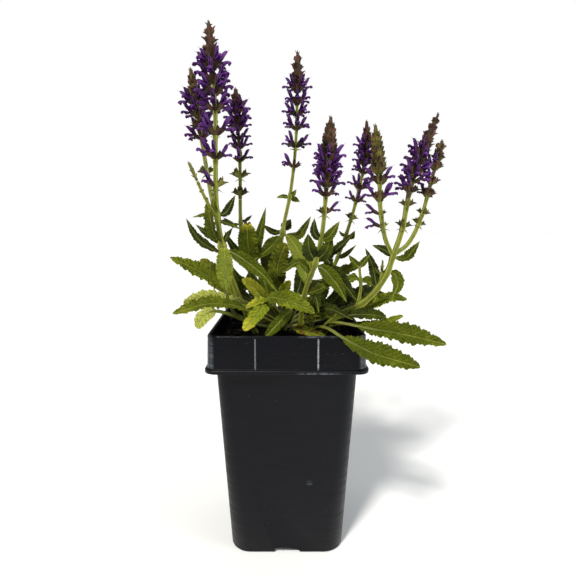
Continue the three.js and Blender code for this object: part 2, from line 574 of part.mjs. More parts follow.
// A spike is one skin: rings of six points up the rachis, with a flower drawn out of each panel between a
// whorl's two rings, and a bud cone of overlapping bracts that closes on the tip.
function spikeSolid(stem) {
  const { spike } = stem;
  const curve = curveOf(stem);
  const length = curve.getLength();
  const draw = draws(spike.seed);
  const points = [];
  const faces = [];
  const bracts = [];

  const frameAt = (distance) => {
    const share = 1 - distance / length;
    return { centre: curve.getPointAt(share), axes: across(curve, Math.min(share, 0.995)), share };
  };
  const thickness = (share) => (stem.radius[0] + (stem.radius[1] - stem.radius[0]) * share) * 1.1;
  const addRing = (distance, turn, radius) => {
    const { centre, axes } = frameAt(distance);
    const first = points.length;
    for (const edge of PANEL_EDGES) {
      const { radial } = outward(axes, turn + (edge * Math.PI) / 180, 1);
      points.push(centre.clone().addScaledVector(radial, radius));
    }
    return first;
  };
  const corner = (first, i) => first + (((i % 6) + 6) % 6);
  // Joins a ring to the one above it. A ring turned on by a quarter meets its neighbour one panel on.
  const skin = (low, high, shift) => {
    for (let i = 0; i < 6; i += 1) {
      const [a, b] = [corner(low, i), corner(low, i + 1)];
      const [c, d] = [corner(high, i + shift), corner(high, i + 1 + shift)];
      faces.push([a, b, d], [a, d, c]);
    }
  };
  const flower = (panel, centre, { out, up }, size, { mouth, upper, lower }) => {
    const side = up.clone().cross(out);
    const add = (reach, rise, sideways = 0) => points.push(centre.clone()
      .addScaledVector(out, reach * size)
      .addScaledVector(up, rise * size)
      .addScaledVector(side, sideways * size)) - 1;
    const [reach, rise, half] = mouth;
    const rim = [add(reach - 0.3, -rise), add(reach, 0, half), add(reach - 0.3, rise), add(reach, 0, -half)];
    const hood = add(...upper);
    const lip = add(...lower);
    panel.forEach((foot, i) => {
      const next = panel[(i + 1) % 4];
      faces.push([foot, next, rim[i]], [rim[i], next, rim[(i + 1) % 4]]);
    });
    faces.push([rim[0], rim[1], lip], [rim[1], rim[2], hood], [rim[2], rim[3], hood], [rim[3], rim[0], lip]);
    faces.push([rim[1], hood, rim[3]], [lip, rim[1], rim[3]]);
  };

  const { whorls } = spike;
  const start = spikeStart(stem) + SEAT_GAP;
  const lowestTurn = Math.abs((whorls.length - 1) % 2) * (Math.PI / 2);
  let below = addRing(length - start, lowestTurn, thickness(start / length));
  faces.push([0, 2, 1], [0, 3, 2], [0, 4, 3], [0, 5, 4]);
  for (let k = whorls.length - 1; k >= 0; k -= 1) {
    const turn = (k % 2) * (Math.PI / 2);
    const { centre, axes, share } = frameAt(whorls[k]);
    const radius = thickness(share);
    const low = addRing(whorls[k] + 0.8 * spike.size, turn, radius);
    const high = addRing(whorls[k] - 0.8 * spike.size, turn, radius);
    skin(below, low, k === whorls.length - 1 ? 0 : (turn ? -2 : 1));
    const spent = k >= whorls.length - spike.spent;
    const closed = k < spike.closed;
    const shape = spent ? SPENT_FLOWER : (closed ? CLOSED_FLOWER : OPEN_FLOWER);
    FLOWER_TURNS.forEach((degrees, i) => {
      const azimuth = turn + (degrees * Math.PI) / 180 + (draw() - 0.5) * 0.16;
      const lean = (spent ? 0.9 : (closed ? 0.62 : 0.82)) + (draw() - 0.5) * 0.14;
      const size = spike.size * (0.9 + 0.14 * draw()) * (k === 0 ? 0.82 : 1);
      const panel = [corner(low, i), corner(low, i + 1), corner(high, i + 1), corner(high, i)];
      if (spent && i % 3 === 2) faces.push([panel[0], panel[1], panel[2]], [panel[0], panel[2], panel[3]]);
      else flower(panel, centre, outward(axes, azimuth, lean), size, shape);
    });
    if (k >= whorls.length - 2) {
      for (const hand of [0, Math.PI]) {
        const foot = frameAt(whorls[k] + 1.8 * spike.size).centre;
        const { out, up } = outward(axes, turn + hand, spent ? 1.65 : 1.5);
        bracts.push(bractSolid(foot, out, up, (spent ? 7.5 : 6) * spike.size, 1.1 * spike.size));
      }
    }
    below = high;
  }

  points.push(frameAt((whorls[0] ?? spike.bud) - 3 * spike.size).centre);
  for (let i = 0; i < 6; i += 1) faces.push([corner(below, i), corner(below, i + 1), points.length - 1]);
  return union([solidOf(points, faces), budCone(spike, frameAt), ...bracts]);
}

// The bud cone: tiers of three pointed bracts, each tier turned over the gaps of the one below.
function budCone({ bud, coneWidth }, frameAt) {
  const tiers = Math.max(2, Math.round(bud / 3.7));
  const rings = [[frameAt(bud + 2).centre]];
  for (let tier = 0; tier < tiers; tier += 1) {
    const share = (tier + 0.5) / (tiers + 0.3);
    const distance = bud * (1 - share) * 0.97 + 0.4;
    const reach = (coneWidth / 2) * Math.min(1, 0.16 + distance / 8);
    const { centre, axes } = frameAt(distance);
    rings.push(Array.from({ length: 6 }, (_, i) => {
      const { radial } = outward(axes, (i / 6) * 2 * Math.PI, 1);
      const tip = (i + tier) % 2 === 0;
      return centre.clone()
        .addScaledVector(radial, reach * (tip ? 1 : 0.5))
        .addScaledVector(axes.along, tip ? 1.2 : -0.8);
    }));
  }
  rings.push([frameAt(0).centre]);
  return loft(rings);
}

// ---------------------------------------------------------------- the whole plant

const looks = {
  pot: { color: 0x1d1e21, roughness: 0.45, metalness: 0 },
  soil: { color: 0x1c1410, roughness: 0.95, metalness: 0 },
  leaf: { color: 0x5d7a1f, roughness: 0.6, metalness: 0 },
  flower: { color: 0x46228c, roughness: 0.55, metalness: 0 },
  bud: { color: 0x66702f, roughness: 0.6, metalness: 0 },
};

const plant = new THREE.Group();
plant.add(meshOf('pot', makePot(), looks.pot), meshOf('potting_mix', makeSoil(), looks.soil));

const leafyNodes = new Map([['basal_rosette', [rootCrown(0)]]]);
for (const stem of Object.values(stems)) {
  if (!leafyNodes.has(stem.node)) leafyNodes.set(stem.node, []);
  const to = stem.spike ? spikeStart(stem) : curveOf(stem).getLength();
  leafyNodes.get(stem.node).push(stalk(stem, { to }));
}
leaves.forEach((leaf, index) => {
  const node = leaf[0] === 'crown' ? 'basal_rosette' : stems[leaf[0]].node;
  leafyNodes.get(node).push(leafSolid(leaf, index));
});
for (const [name, solids] of leafyNodes) plant.add(meshOf(name, union(solids), looks.leaf));

for (const [key, stem] of Object.entries(stems)) {
  if (!stem.spike) continue;
  const green = stem.spike.whorls.length === 0;
  plant.add(meshOf(`flower_spike_${stem.name ?? key}`, spikeSolid(stem), green ? looks.bud : looks.flower));
}

export default plant;
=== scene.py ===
import math
import bpy
import bmesh
import numpy as np
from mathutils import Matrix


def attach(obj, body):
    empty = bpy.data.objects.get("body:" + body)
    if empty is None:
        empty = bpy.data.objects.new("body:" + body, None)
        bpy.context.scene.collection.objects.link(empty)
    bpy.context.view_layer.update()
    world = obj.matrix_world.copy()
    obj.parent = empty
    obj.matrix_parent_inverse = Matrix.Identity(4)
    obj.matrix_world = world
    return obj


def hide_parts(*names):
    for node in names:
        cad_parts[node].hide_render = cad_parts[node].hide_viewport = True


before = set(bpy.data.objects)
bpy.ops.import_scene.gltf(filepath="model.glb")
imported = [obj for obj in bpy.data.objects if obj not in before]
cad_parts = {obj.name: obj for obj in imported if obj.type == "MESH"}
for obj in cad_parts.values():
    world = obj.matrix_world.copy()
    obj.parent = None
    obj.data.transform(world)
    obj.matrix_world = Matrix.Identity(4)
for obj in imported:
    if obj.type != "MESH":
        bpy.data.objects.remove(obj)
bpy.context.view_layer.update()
millimetre = 0.001
nearTip = 0.995  # directions across a stem are read no further along it than this

# A garden salvia in flower, in its square nursery pot. Plant, pot and soil are drawn in millimetres on the
# plant's own axes, and scaled as they become meshes. The camera, the lights and the floor are in metres.


def addObject(name, data):
    made = bpy.data.objects.new(name, data)
    bpy.context.scene.collection.objects.link(made)
    return made


cameraView = {
    "place": (0.0008, -0.3126, 0.2249),
    "pitch": 8.4,  # degrees below level
    "lens": 27.5,
}


def makeCamera():
    data = bpy.data.cameras.new("cameraData")
    data.lens = cameraView["lens"]
    data.sensor_width = 36
    data.sensor_fit = "HORIZONTAL"
    data.clip_start = 0.01
    camera = addObject("camera", data)
    camera.location = cameraView["place"]
    camera.rotation_euler = (math.radians(90 - cameraView["pitch"]), 0, 0)
    bpy.context.scene.camera = camera


makeCamera()
print("camera set")


def fullTurn(count):
    # the angles of the points round a ring
    return np.linspace(0, 2 * math.pi, count, endpoint=False)


def packed(*values):
    # several values for every point
    return np.stack(np.broadcast_arrays(*values), -1)


def unit(vectors):
    return vectors / np.linalg.norm(vectors, axis=-1, keepdims=True)


def smoothRange(values, low, high):
    share = np.clip((values - low) / (high - low), 0, 1)
    return share * share * (3 - 2 * share)


def smoothPoints(knots, steps=60):
    # a smooth line that passes through every knot
    knots = np.array(knots, float)
    padded = np.vstack([2 * knots[0] - knots[1], knots, 2 * knots[-1] - knots[-2]])
    t = np.linspace(0, 1, steps, endpoint=False)[:, None]
    spans = []
    for before, start, end, after in zip(padded, padded[1:], padded[2:], padded[3:]):
        spans.append((2 * t**3 - 3 * t**2 + 1) * start + (t**3 - 2 * t**2 + t) * 0.5 * (end - before)
                     + (3 * t**2 - 2 * t**3) * end + (t**3 - t**2) * 0.5 * (after - start))
    return np.vstack(spans + [knots[-1:]])


class Line:
    # a line read by its share of the whole length
    def __init__(self, points):
        self.points = np.array(points, float)
        steps = np.linalg.norm(np.diff(self.points, axis=0), axis=1)
        self.reach = np.concatenate([[0], np.cumsum(steps)])
        self.length = self.reach[-1]

    def at(self, share):
        reach = np.clip(np.asarray(share, float), 0, 1) * self.length
        return np.stack([np.interp(reach, self.reach, self.points[:, i]) for i in range(3)], -1)

    def along(self, share):
        share = np.asarray(share, float)
        return unit(self.at(np.minimum(share + 0.004, 1)) - self.at(np.maximum(share - 0.004, 0)))

    def axes(self, share):
        # the direction of the line, and the two directions across it
        along = self.along(share)
        sideways = np.array([0.0, 1.0, 0.0])
        u = unit(sideways - along * (along @ sideways)[..., None])
        return along, u, np.cross(along, u)

    def shareAtHeight(self, height):
        above = np.nonzero(self.points[:, 2] >= height)[0]
        first = above[0] if len(above) else len(self.points) - 1
        return self.reach[first] / self.length


class Heap:
    # gathers points and faces, with what each point tells its material, until they become one piece
    def __init__(self):
        self.points, self.faces, self.looks, self.places, self.tints = [], [], [], [], []
        self.count = 0

    def add(self, points, faces, look, place, tint):
        points = np.asarray(points, float).reshape(-1, 3)
        self.points.append(points)
        self.places.append(np.broadcast_to(np.asarray(place, float), points.shape))
        self.tints.append(np.broadcast_to(np.asarray(tint, float), points.shape))
        for part, partLook in zip(faces, look if isinstance(look, (list, tuple)) else [look] * len(faces)):
            self.faces.append(np.asarray(part, int) + self.count)
            self.looks.append(np.full(len(part), partLook))
        self.count += len(points)


def skin(heap, rings, look, place=(0, 0, 0), tint=(0, 0, 0)):
    # a closed skin over a row of rings
    n, m = rings.shape[:2]
    i, j = np.meshgrid(np.arange(n - 1), np.arange(m), indexing="ij")
    a, b = i * m + j, i * m + (j + 1) % m
    place = np.broadcast_to(np.asarray(place, float), rings.shape)
    points, places = [rings.reshape(-1, 3)], [place.reshape(-1, 3)]
    faces = [np.stack([a, b, b + m, a + m], -1).reshape(-1, 4)]
    for ring, middle in ((0, n * m), (n - 1, n * m + 1)):
        points.append(rings[ring].mean(0)[None])
        places.append(place[ring].mean(0)[None])
        here = ring * m + np.arange(m)
        after = ring * m + (np.arange(m) + 1) % m
        fan = [after, here] if ring == 0 else [here, after]
        faces.append(np.stack([*fan, np.full(m, middle)], -1))
    heap.add(np.vstack(points), faces, look, np.vstack(places), tint)


def sheet(heap, top, bottom, look, place, tint=(0, 0, 0)):
    # a thin closed sheet from the grids of its two faces
    n, m = top.shape[:2]
    i, j = np.meshgrid(np.arange(n - 1), np.arange(m - 1), indexing="ij")
    a = (i * m + j).reshape(-1)
    upper = np.stack([a, a + 1, a + m + 1, a + m], -1)
    lower = upper[:, ::-1] + n * m
    edge = np.concatenate([np.arange(m), np.arange(1, n) * m + m - 1,
                           (n - 1) * m + np.arange(m - 2, -1, -1), np.arange(n - 2, 0, -1) * m])
    after = np.roll(edge, -1)
    wall = np.stack([edge, edge + n * m, after + n * m, after], -1)
    place = np.broadcast_to(np.asarray(place, float), top.shape).reshape(-1, 3)
    upperLook, lowerLook = look if isinstance(look, tuple) else (look, look)
    heap.add(np.vstack([top.reshape(-1, 3), bottom.reshape(-1, 3)]), [upper, lower, wall],
             [upperLook, lowerLook, lowerLook], np.vstack([place, place]), tint)


def templateOf(heap):
    # the heap's parts, each with the faces that belong to it, to be stamped again and again
    parts, start, at = [], 0, 0
    for points, place in zip(heap.points, heap.places):
        faces, looks = [], []
        while at < len(heap.faces) and heap.faces[at].min() < start + len(points):
            faces.append(heap.faces[at] - start)
            looks.append(int(heap.looks[at][0]))
            at += 1
        parts.append((points, faces, looks, place))
        start += len(points)
    return parts


def stamp(heap, template, centre, axes, size, tint):
    # one copy of a template, laid on three axes
    for points, faces, looks, place in template:
        placed = centre + size * (points @ np.array(axes))
        heap.add(placed, faces, looks, place, tint)


def faceOutward(mesh):
    shaped = bmesh.new()
    shaped.from_mesh(mesh)
    bmesh.ops.recalc_face_normals(shaped, faces=shaped.faces)
    shaped.to_mesh(mesh)
    shaped.free()


def makePiece(name, heap, materials, nodes, sharpAngle):
    points = np.vstack(heap.points) * millimetre
    corners = np.concatenate([faces.ravel() for faces in heap.faces])
    sizes = np.concatenate([np.full(len(faces), faces.shape[1]) for faces in heap.faces])
    mesh = bpy.data.meshes.new(name)
    mesh.vertices.add(len(points))
    mesh.vertices.foreach_set("co", points.ravel())
    mesh.loops.add(len(corners))
    mesh.loops.foreach_set("vertex_index", corners)
    mesh.polygons.add(len(sizes))
    mesh.polygons.foreach_set("loop_start", np.concatenate([[0], np.cumsum(sizes)[:-1]]))
    mesh.polygons.foreach_set("material_index", np.concatenate(heap.looks))
    mesh.update(calc_edges=True)
    for label, values in (("place", heap.places), ("tint", heap.tints)):
        attribute = mesh.attributes.new(label, "FLOAT_VECTOR", "POINT")
        attribute.data.foreach_set("vector", np.vstack(values).ravel())
    faceOutward(mesh)
    mesh.shade_smooth()
    mesh.set_sharp_from_angle(angle=math.radians(sharpAngle))
    for material in materials:
        mesh.materials.append(material)
    piece = addObject(name, mesh)
    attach(piece, "root")
    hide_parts(*nodes)


def draws(seed):
    # a repeatable draw from 0 to 1
    state = seed * 7919
    while True:
        state = (state * 16807) % 2147483647
        yield state / 2147483647


def ripple(x, y, seed, wave):
    # soft repeatable unevenness between about -1 and 1
    chance = np.random.RandomState(seed)
    total = np.zeros(np.broadcast(x, y).shape)
    for _ in range(5):
        turn, phase, pace = chance.uniform(0, 2 * math.pi, 2).tolist() + [chance.uniform(0.7, 1.5)]
        total = total + np.sin((x * math.cos(turn) + y * math.sin(turn)) * pace * 2 * math.pi / wave + phase)
    return total / 3


def rgb(red, green, blue):
    # a colour as it looks on a screen, 0 to 255
    linear = [((v / 255 + 0.055) / 1.055) ** 2.4 if v > 10 else v / 255 / 12.92 for v in (red, green, blue)]
    return (*linear, 1.0)


downLook = {"hair": rgb(186, 190, 130), "scale": 2600.0}


class Net:
    # one tree of shader nodes, with a word for every step that the materials share
    def __init__(self, tree):
        self.tree = tree

    def feed(self, made, inputs):
        # links what comes from another node, and sets what is a plain value
        for key, value in inputs.items():
            if isinstance(value, bpy.types.NodeSocket):
                self.tree.links.new(value, made.inputs[key])
            else:
                made.inputs[key].default_value = value

    def node(self, kind, inputs, **settings):
        made = self.tree.nodes.new(kind)
        for key, value in settings.items():
            setattr(made, key, value)
        self.feed(made, inputs)
        return made

    def math(self, operation, *values, clamp=False):
        made = self.node("ShaderNodeMath", dict(enumerate(values)), operation=operation, use_clamp=clamp)
        return made.outputs[0]

    def chain(self, operation, values):
        total = values[0]
        for value in values[1:]:
            total = self.math(operation, total, value)
        return total

    def times(self, *values):
        return self.chain("MULTIPLY", values)

    def plus(self, *values):
        return self.chain("ADD", values)

    def largest(self, *values):
        return self.chain("MAXIMUM", values)

    def minus(self, a, b):
        return self.math("SUBTRACT", a, b)

    def timesPlus(self, a, b, c):
        return self.math("MULTIPLY_ADD", a, b, c)

    def positive(self, a):
        return self.math("ABSOLUTE", a)

    def remap(self, value, low, high, to=(0.0, 1.0)):
        made = self.node("ShaderNodeMapRange", {0: value, 1: low, 2: high, 3: to[0], 4: to[1]},
                         interpolation_type="SMOOTHSTEP")
        return made.outputs[0]

    def within(self, value, span):
        # rises from the first to the second of four limits, and falls from the third to the fourth
        start, full, leaving, end = span
        return self.times(self.remap(value, start, full), self.remap(value, end, leaving))

    def mix(self, factor, a, b, blend="MIX"):
        made = self.node("ShaderNodeMix", {0: factor, 6: a, 7: b}, data_type="RGBA", blend_type=blend)
        return made.outputs[2]

    def noise(self, vector, scale, detail=3.0, roughness=0.55):
        made = self.node("ShaderNodeTexNoise", {"Vector": vector, "Scale": scale, "Detail": detail,
                                                "Roughness": roughness})
        return made.outputs["Fac"]

    def read(self, name):
        return self.node("ShaderNodeAttribute", {}, attribute_name=name).outputs["Vector"]

    def split(self, vector):
        return self.node("ShaderNodeSeparateXYZ", {0: vector}).outputs

    def join(self, x, y, z):
        return self.node("ShaderNodeCombineXYZ", {0: x, 1: y, 2: z}).outputs[0]

    def solid(self):
        # the place of a point in the object, in metres
        return self.node("ShaderNodeTexCoord", {}).outputs["Object"]

    def use(self, group, inputs):
        made = self.tree.nodes.new("ShaderNodeGroup")
        made.node_tree = group
        self.feed(made, inputs)
        return made.outputs

    def mottle(self, place, dark, light, scale, contrast):
        return self.use(mottleGroup, {"Place": place, "Dark": dark, "Light": light, "Scale": scale,
                                      "Contrast": contrast})

    def down(self, place, colour, amount):
        return self.use(downGroup, {"Place": place, "Color": colour, "Hair": downLook["hair"],
                                    "Amount": amount, "Scale": downLook["scale"]})

    def finish(self, colour, roughness, bump, plain):
        # the shader's colour and roughness, its bump as height, strength and distance, and plain values
        height, strength, distance = bump
        made = self.node("ShaderNodeBump", {"Height": height, "Strength": strength, "Distance": distance})
        self.feed(self.tree.nodes["Principled BSDF"],
                  {"Base Color": colour, "Roughness": roughness, "Normal": made.outputs[0], **plain})


def makeGroup(name, inputs, outputs):
    # a shader node group with named sockets, as its net, its inputs and its output node
    tree = bpy.data.node_groups.new(name, "ShaderNodeTree")
    for label, kind, value in inputs:
        socket = tree.interface.new_socket(label, in_out="INPUT", socket_type="NodeSocket" + kind)
        if value is not None:
            socket.default_value = value
    for label, kind in outputs:
        tree.interface.new_socket(label, in_out="OUTPUT", socket_type="NodeSocket" + kind)
    return Net(tree), tree.nodes.new("NodeGroupInput").outputs, tree.nodes.new("NodeGroupOutput")


def newMaterial(name):
    material = bpy.data.materials.new(name)
    material.use_nodes = True
    return material, Net(material.node_tree)


def makeMottleGroup():
    # uneven colour at two sizes, between a darker and a lighter one
    net, given, out = makeGroup(
        "mottle",
        [("Place", "Vector", None), ("Dark", "Color", (0, 0, 0, 1)), ("Light", "Color", (1, 1, 1, 1)),
         ("Scale", "Float", 100.0), ("Contrast", "Float", 1.0)],
        [("Color", "Color"), ("Value", "Float")])
    broad = net.noise(given["Place"], given["Scale"], 2.0)
    fine = net.noise(given["Place"], net.times(given["Scale"], 5.3), 3.0)
    both = net.timesPlus(fine, 0.4, net.times(broad, 0.6))
    spread = net.math("MULTIPLY_ADD", net.minus(both, 0.5), given["Contrast"], 0.5, clamp=True)
    net.feed(out, {"Color": net.mix(spread, given["Dark"], given["Light"]), "Value": spread})
    return net.tree


def makeVeinGroup():
    # a blade's midrib, its side veins and the fine net between them, from its own place in millimetres
    net, given, out = makeGroup(
        "veinNet",
        [("Place", "Vector", None), ("Pitch", "Float", 4.0), ("Slant", "Float", 0.9), ("Net", "Float", 0.9)],
        [("Midrib", "Float"), ("Veins", "Float"), ("Pits", "Float"), ("Relief", "Float")])
    x, y, half = net.split(given["Place"])
    away = net.positive(y)
    midrib = net.remap(away, 0.75, 0.15)
    wander = net.times(net.minus(net.noise(given["Place"], 0.35), 0.5), 2.2)
    lean = net.timesPlus(away, net.times(given["Slant"], -1.0), x)
    row = net.math("DIVIDE", net.plus(lean, wander), given["Pitch"])
    near = net.times(net.math("PINGPONG", row, 0.5), given["Pitch"])
    fade = net.remap(net.math("DIVIDE", away, half), 1.0, 0.55)
    veins = net.times(net.remap(near, 0.42, 0.06), fade)
    flat = net.join(x, y, 0.0)
    fromEdge, fromMiddle = [
        net.node("ShaderNodeTexVoronoi", {"Vector": flat, "Scale": given["Net"], "Randomness": 0.85},
                 feature=feature, voronoi_dimensions="2D").outputs["Distance"]
        for feature in ("DISTANCE_TO_EDGE", "F1")]
    pits = net.times(net.remap(fromMiddle, 0.36, 0.12), net.remap(away, 0.5, 1.3))
    relief = net.minus(net.remap(fromEdge, 0.3, 0.0, (0.0, 0.5)), net.largest(net.times(veins, 0.8), midrib))
    net.feed(out, {"Midrib": midrib, "Veins": veins, "Pits": pits, "Relief": relief})
    return net.tree


def makeDownGroup():
    # the pale bloom of short hairs, thicker in patches
    net, given, out = makeGroup(
        "down",
        [("Place", "Vector", None), ("Color", "Color", (0, 0, 0, 1)), ("Hair", "Color", (1, 1, 1, 1)),
         ("Amount", "Float", 0.3), ("Scale", "Float", 2500.0)],
        [("Color", "Color"), ("Height", "Float")])
    fine = net.noise(given["Place"], given["Scale"], 1.0)
    patches = net.noise(given["Place"], net.times(given["Scale"], 0.12), 2.0)
    specks = net.times(net.remap(fine, 0.52, 0.68), net.remap(patches, 0.35, 0.65))
    net.feed(out, {"Color": net.mix(net.times(specks, given["Amount"]), given["Color"], given["Hair"]),
                   "Height": fine})
    return net.tree


mottleGroup = makeMottleGroup()
veinGroup = makeVeinGroup()
downGroup = makeDownGroup()


potShape = {
    "height": 156, "baseWidth": 78, "shoulderWidth": 91, "bandWidth": 100.6, "lipWidth": 103.4,
    "bandHeight": 24, "wall": 1.3, "footHeight": 3.8, "crossWidth": 15,
    "holeWidth": 9, "holeReach": 23, "centreFootRadius": 5, "roundSteps": 28,
    "ribSpacing": 39, "ribInset": (2.5, 1.7),  # ends of the ribs, in from the band's foot and the rim
    "baseCorner": 14, "shoulderCorner": 8, "bandCorner": 7, "cornerSteps": 12, "bandLean": 0.5,
}
# Colours of the plastic: rib is the ribs' painted highlight, and the pale worn colour serves wear, dust and
# the knock, and also the painted highlights on the rim and the band's corners.
potColour = {
    "dark": rgb(4, 4, 8), "light": rgb(11, 12, 18), "paleWearAndShine": rgb(88, 92, 98), "rib": rgb(170, 174, 180),
    "roughness": (0.36, 0.52), "bandRoughness": (0.2, 0.34),
}
# Where the plastic is worn, and where it carries painted highlights, in metres: the limits between which each
# mark comes and goes, and one knock.
potWearAndHighlights = {
    "lip": (0.1318, 0.1328, 0.1345, 0.1372), "rim": (0.1545, 0.1558),
    "scuffAndShineAcross": (0.004, 0.014, 0.026, 0.036), "scuffUp": (0.1316, 0.1322, 0.1328, 0.1338),
    "corner": (0.0446, 0.0468, 0.0474, 0.0486), "knock": (0.0152, -0.0417, 0.0535), "knockRadius": 0.003,
}
bandBottom = potShape["height"] - potShape["bandHeight"]
bandStart = bandBottom + 3  # above the lip that flares at the band's foot


def squareRing(z, half, radius, steps=None):
    steps = steps or potShape["cornerSteps"]
    ring = []
    for corner in range(4):
        middle = (corner + 0.5) * math.pi / 2
        cx = math.copysign(half - radius, math.cos(middle))
        cy = math.copysign(half - radius, math.sin(middle))
        for i in range(steps + 1):
            angle = (corner + i / steps) * math.pi / 2
            ring.append((cx + radius * math.cos(angle), cy + radius * math.sin(angle), z))
    return np.array(ring)


def bodyRing(z, inset):
    share = z / bandBottom
    half = (potShape["baseWidth"] + (potShape["shoulderWidth"] - potShape["baseWidth"]) * share) / 2
    radius = potShape["baseCorner"] + (potShape["shoulderCorner"] - potShape["baseCorner"]) * share
    return squareRing(z, half - inset, radius - inset)


def looseSolid(name, rings):
    # a plain solid over a row of rings, which cuts or is cut
    heap = Heap()
    skin(heap, np.array(rings), 0)
    mesh = bpy.data.meshes.new(name)
    faces = [face.tolist() for part in heap.faces for face in part]
    mesh.from_pydata((np.vstack(heap.points) * millimetre).tolist(), [], faces)
    faceOutward(mesh)
    return addObject(name, mesh)


def cutFrom(solid, tool):
    modifier = solid.modifiers.new("cut", "BOOLEAN")
    modifier.operation = "DIFFERENCE"
    modifier.solver = "EXACT"
    modifier.object = tool
    bpy.context.view_layer.update()
    shaped = solid.evaluated_get(bpy.context.evaluated_depsgraph_get())
    mesh = bpy.data.meshes.new_from_object(shaped)
    solid.modifiers.clear()
    solid.data = mesh
    bpy.data.objects.remove(tool)


def drainageBar(grown, across):
    # one bar of the raised drainage cross under the floor
    low = potShape["crossWidth"] / 2 + 2 + grown
    high = potShape["crossWidth"] / 2 + grown
    top = potShape["footHeight"] + grown
    outline = [(-low, -1), (low, -1), (high + 0.5, top - 0.6), (high - 0.3, top), (0.3 - high, top),
               (-high - 0.5, top - 0.6)]
    reach = potShape["baseWidth"]
    rings = [[(a, end, z) if across else (end, a, z) for a, z in outline] for end in (-reach, reach)]
    return looseSolid("bar", rings)


def roundedRib(side, hand, heap):
    # an upright rib on the band, with soft edges and ends
    band = potShape["bandWidth"] / 2
    low = bandBottom + potShape["ribInset"][0]
    high = potShape["height"] - potShape["ribInset"][1]
    rings = []
    for z, share in ((low, 0.3), (low + 0.5, 0.85), (low + 1.1, 1), (high - 1.1, 1), (high - 0.5, 0.85),
                     (high, 0.3)):
        lean = potShape["bandLean"] * max(0, (z - bandStart) / 20)
        angles = np.linspace(-math.pi / 2, math.pi / 2, 9)
        x = hand * potShape["ribSpacing"] / 2 + 0.52 * np.sign(angles) * np.abs(np.sin(angles)) ** 0.6
        y = -band + lean + 0.5 - (0.55 + 0.5 * share * np.cos(angles) ** 0.6)
        back = np.array([[x[-1], -band + 1.0 + lean], [x[0], -band + 1.0 + lean]])
        outline = np.vstack([np.stack([x, y], -1), back])
        turn = side * math.pi / 2
        turned = np.stack([outline[:, 0] * math.cos(turn) - outline[:, 1] * math.sin(turn),
                           outline[:, 0] * math.sin(turn) + outline[:, 1] * math.cos(turn)], -1)
        rings.append(np.column_stack([turned, np.full(len(turned), z)]))
    skin(heap, np.array(rings), 1)


def makePotMaterial(name, paleWearAndShine, gloss):
    material, net = newMaterial(name)
    place = net.solid()
    x, y, z = net.split(place)
    mottled = net.mottle(place, potColour["dark"], potColour["light"], 38.0, 1.3)
    # faint level bands left by the mould
    level = net.join(net.times(x, 0.08), net.times(y, 0.08), z)
    bands = net.noise(level, 420.0, 2.0)
    streaked = net.join(x, y, net.times(z, 3.0))
    scratches = net.remap(net.noise(streaked, 900.0, 4.0, 0.7), 0.56, 0.74)
    patches = net.remap(net.noise(place, 55.0, 3.0), 0.5, 0.72)
    rim = net.remap(z, *potWearAndHighlights["rim"])
    wear = net.timesPlus(net.largest(net.within(z, potWearAndHighlights["lip"]), rim), 0.5, 0.12)
    worked = net.math("MULTIPLY", net.times(scratches, patches), wear, clamp=True)
    # the right of the front is scuffed along its lip, and along its rim paler as a painted highlight
    scuffAndRimShine = net.times(net.within(x, potWearAndHighlights["scuffAndShineAcross"]), net.remap(y, -0.04, -0.05),
                        net.largest(net.within(z, potWearAndHighlights["scuffUp"]), rim),
                        net.remap(net.noise(place, 300.0), 0.4, 0.55, (0.1, 0.8)))
    # grains of dust, and one knock low on the front
    grains = net.node("ShaderNodeTexVoronoi", {"Vector": place, "Scale": 230.0}).outputs["Distance"]
    dust = net.times(net.remap(grains, 0.1, 0.05), net.remap(net.noise(place, 70.0), 0.48, 0.62, (0.0, 0.3)))
    far = net.node("ShaderNodeVectorMath", {0: place, 1: potWearAndHighlights["knock"]}, operation="DISTANCE")
    knock = net.times(net.remap(far.outputs["Value"], potWearAndHighlights["knockRadius"], 0.0),
                      net.remap(net.noise(level, 900.0), 0.35, 0.65, (0.0, 0.6)))
    amount = net.largest(worked, scuffAndRimShine, dust, knock)
    if name == "bandPlastic":  # its upright corners are paler: some rubbing, and a painted highlight in place of their reflections
        nearer = net.math("MINIMUM", net.positive(x), net.positive(y))
        rough = net.remap(net.noise(level, 500.0, 4.0), 0.3, 0.7, (0.15, 0.9))
        amount = net.largest(amount, net.times(net.within(nearer, potWearAndHighlights["corner"]), rough))
    # the ribs carry a painted highlight, brighter on the pot's right half than on its left, and uneven along
    # them
    if name == "ribHighlight":
        amount = net.times(net.remap(net.noise(level, 500.0, 3.0), 0.3, 0.5, (0.25, 1.0)),
                           net.remap(x, -0.01, 0.01, (0.26, 0.66)))
    span = potColour["bandRoughness" if name == "bandPlastic" else "roughness"]
    roughness = net.plus(net.remap(bands, 0.3, 0.7, span), net.times(amount, 0.2))
    grain = net.timesPlus(bands, 0.5, net.noise(place, 1600.0, 2.0))
    net.finish(net.mix(amount, mottled["Color"], paleWearAndShine), roughness, (grain, 0.35, 0.00012),
               {"Specular IOR Level": gloss})
    return material


def roundRing(radius, z, middle=(0, 0)):
    turn = fullTurn(potShape["roundSteps"])
    return np.column_stack([middle[0] + radius * np.cos(turn), middle[1] + radius * np.sin(turn),
                            np.full(len(turn), z)])


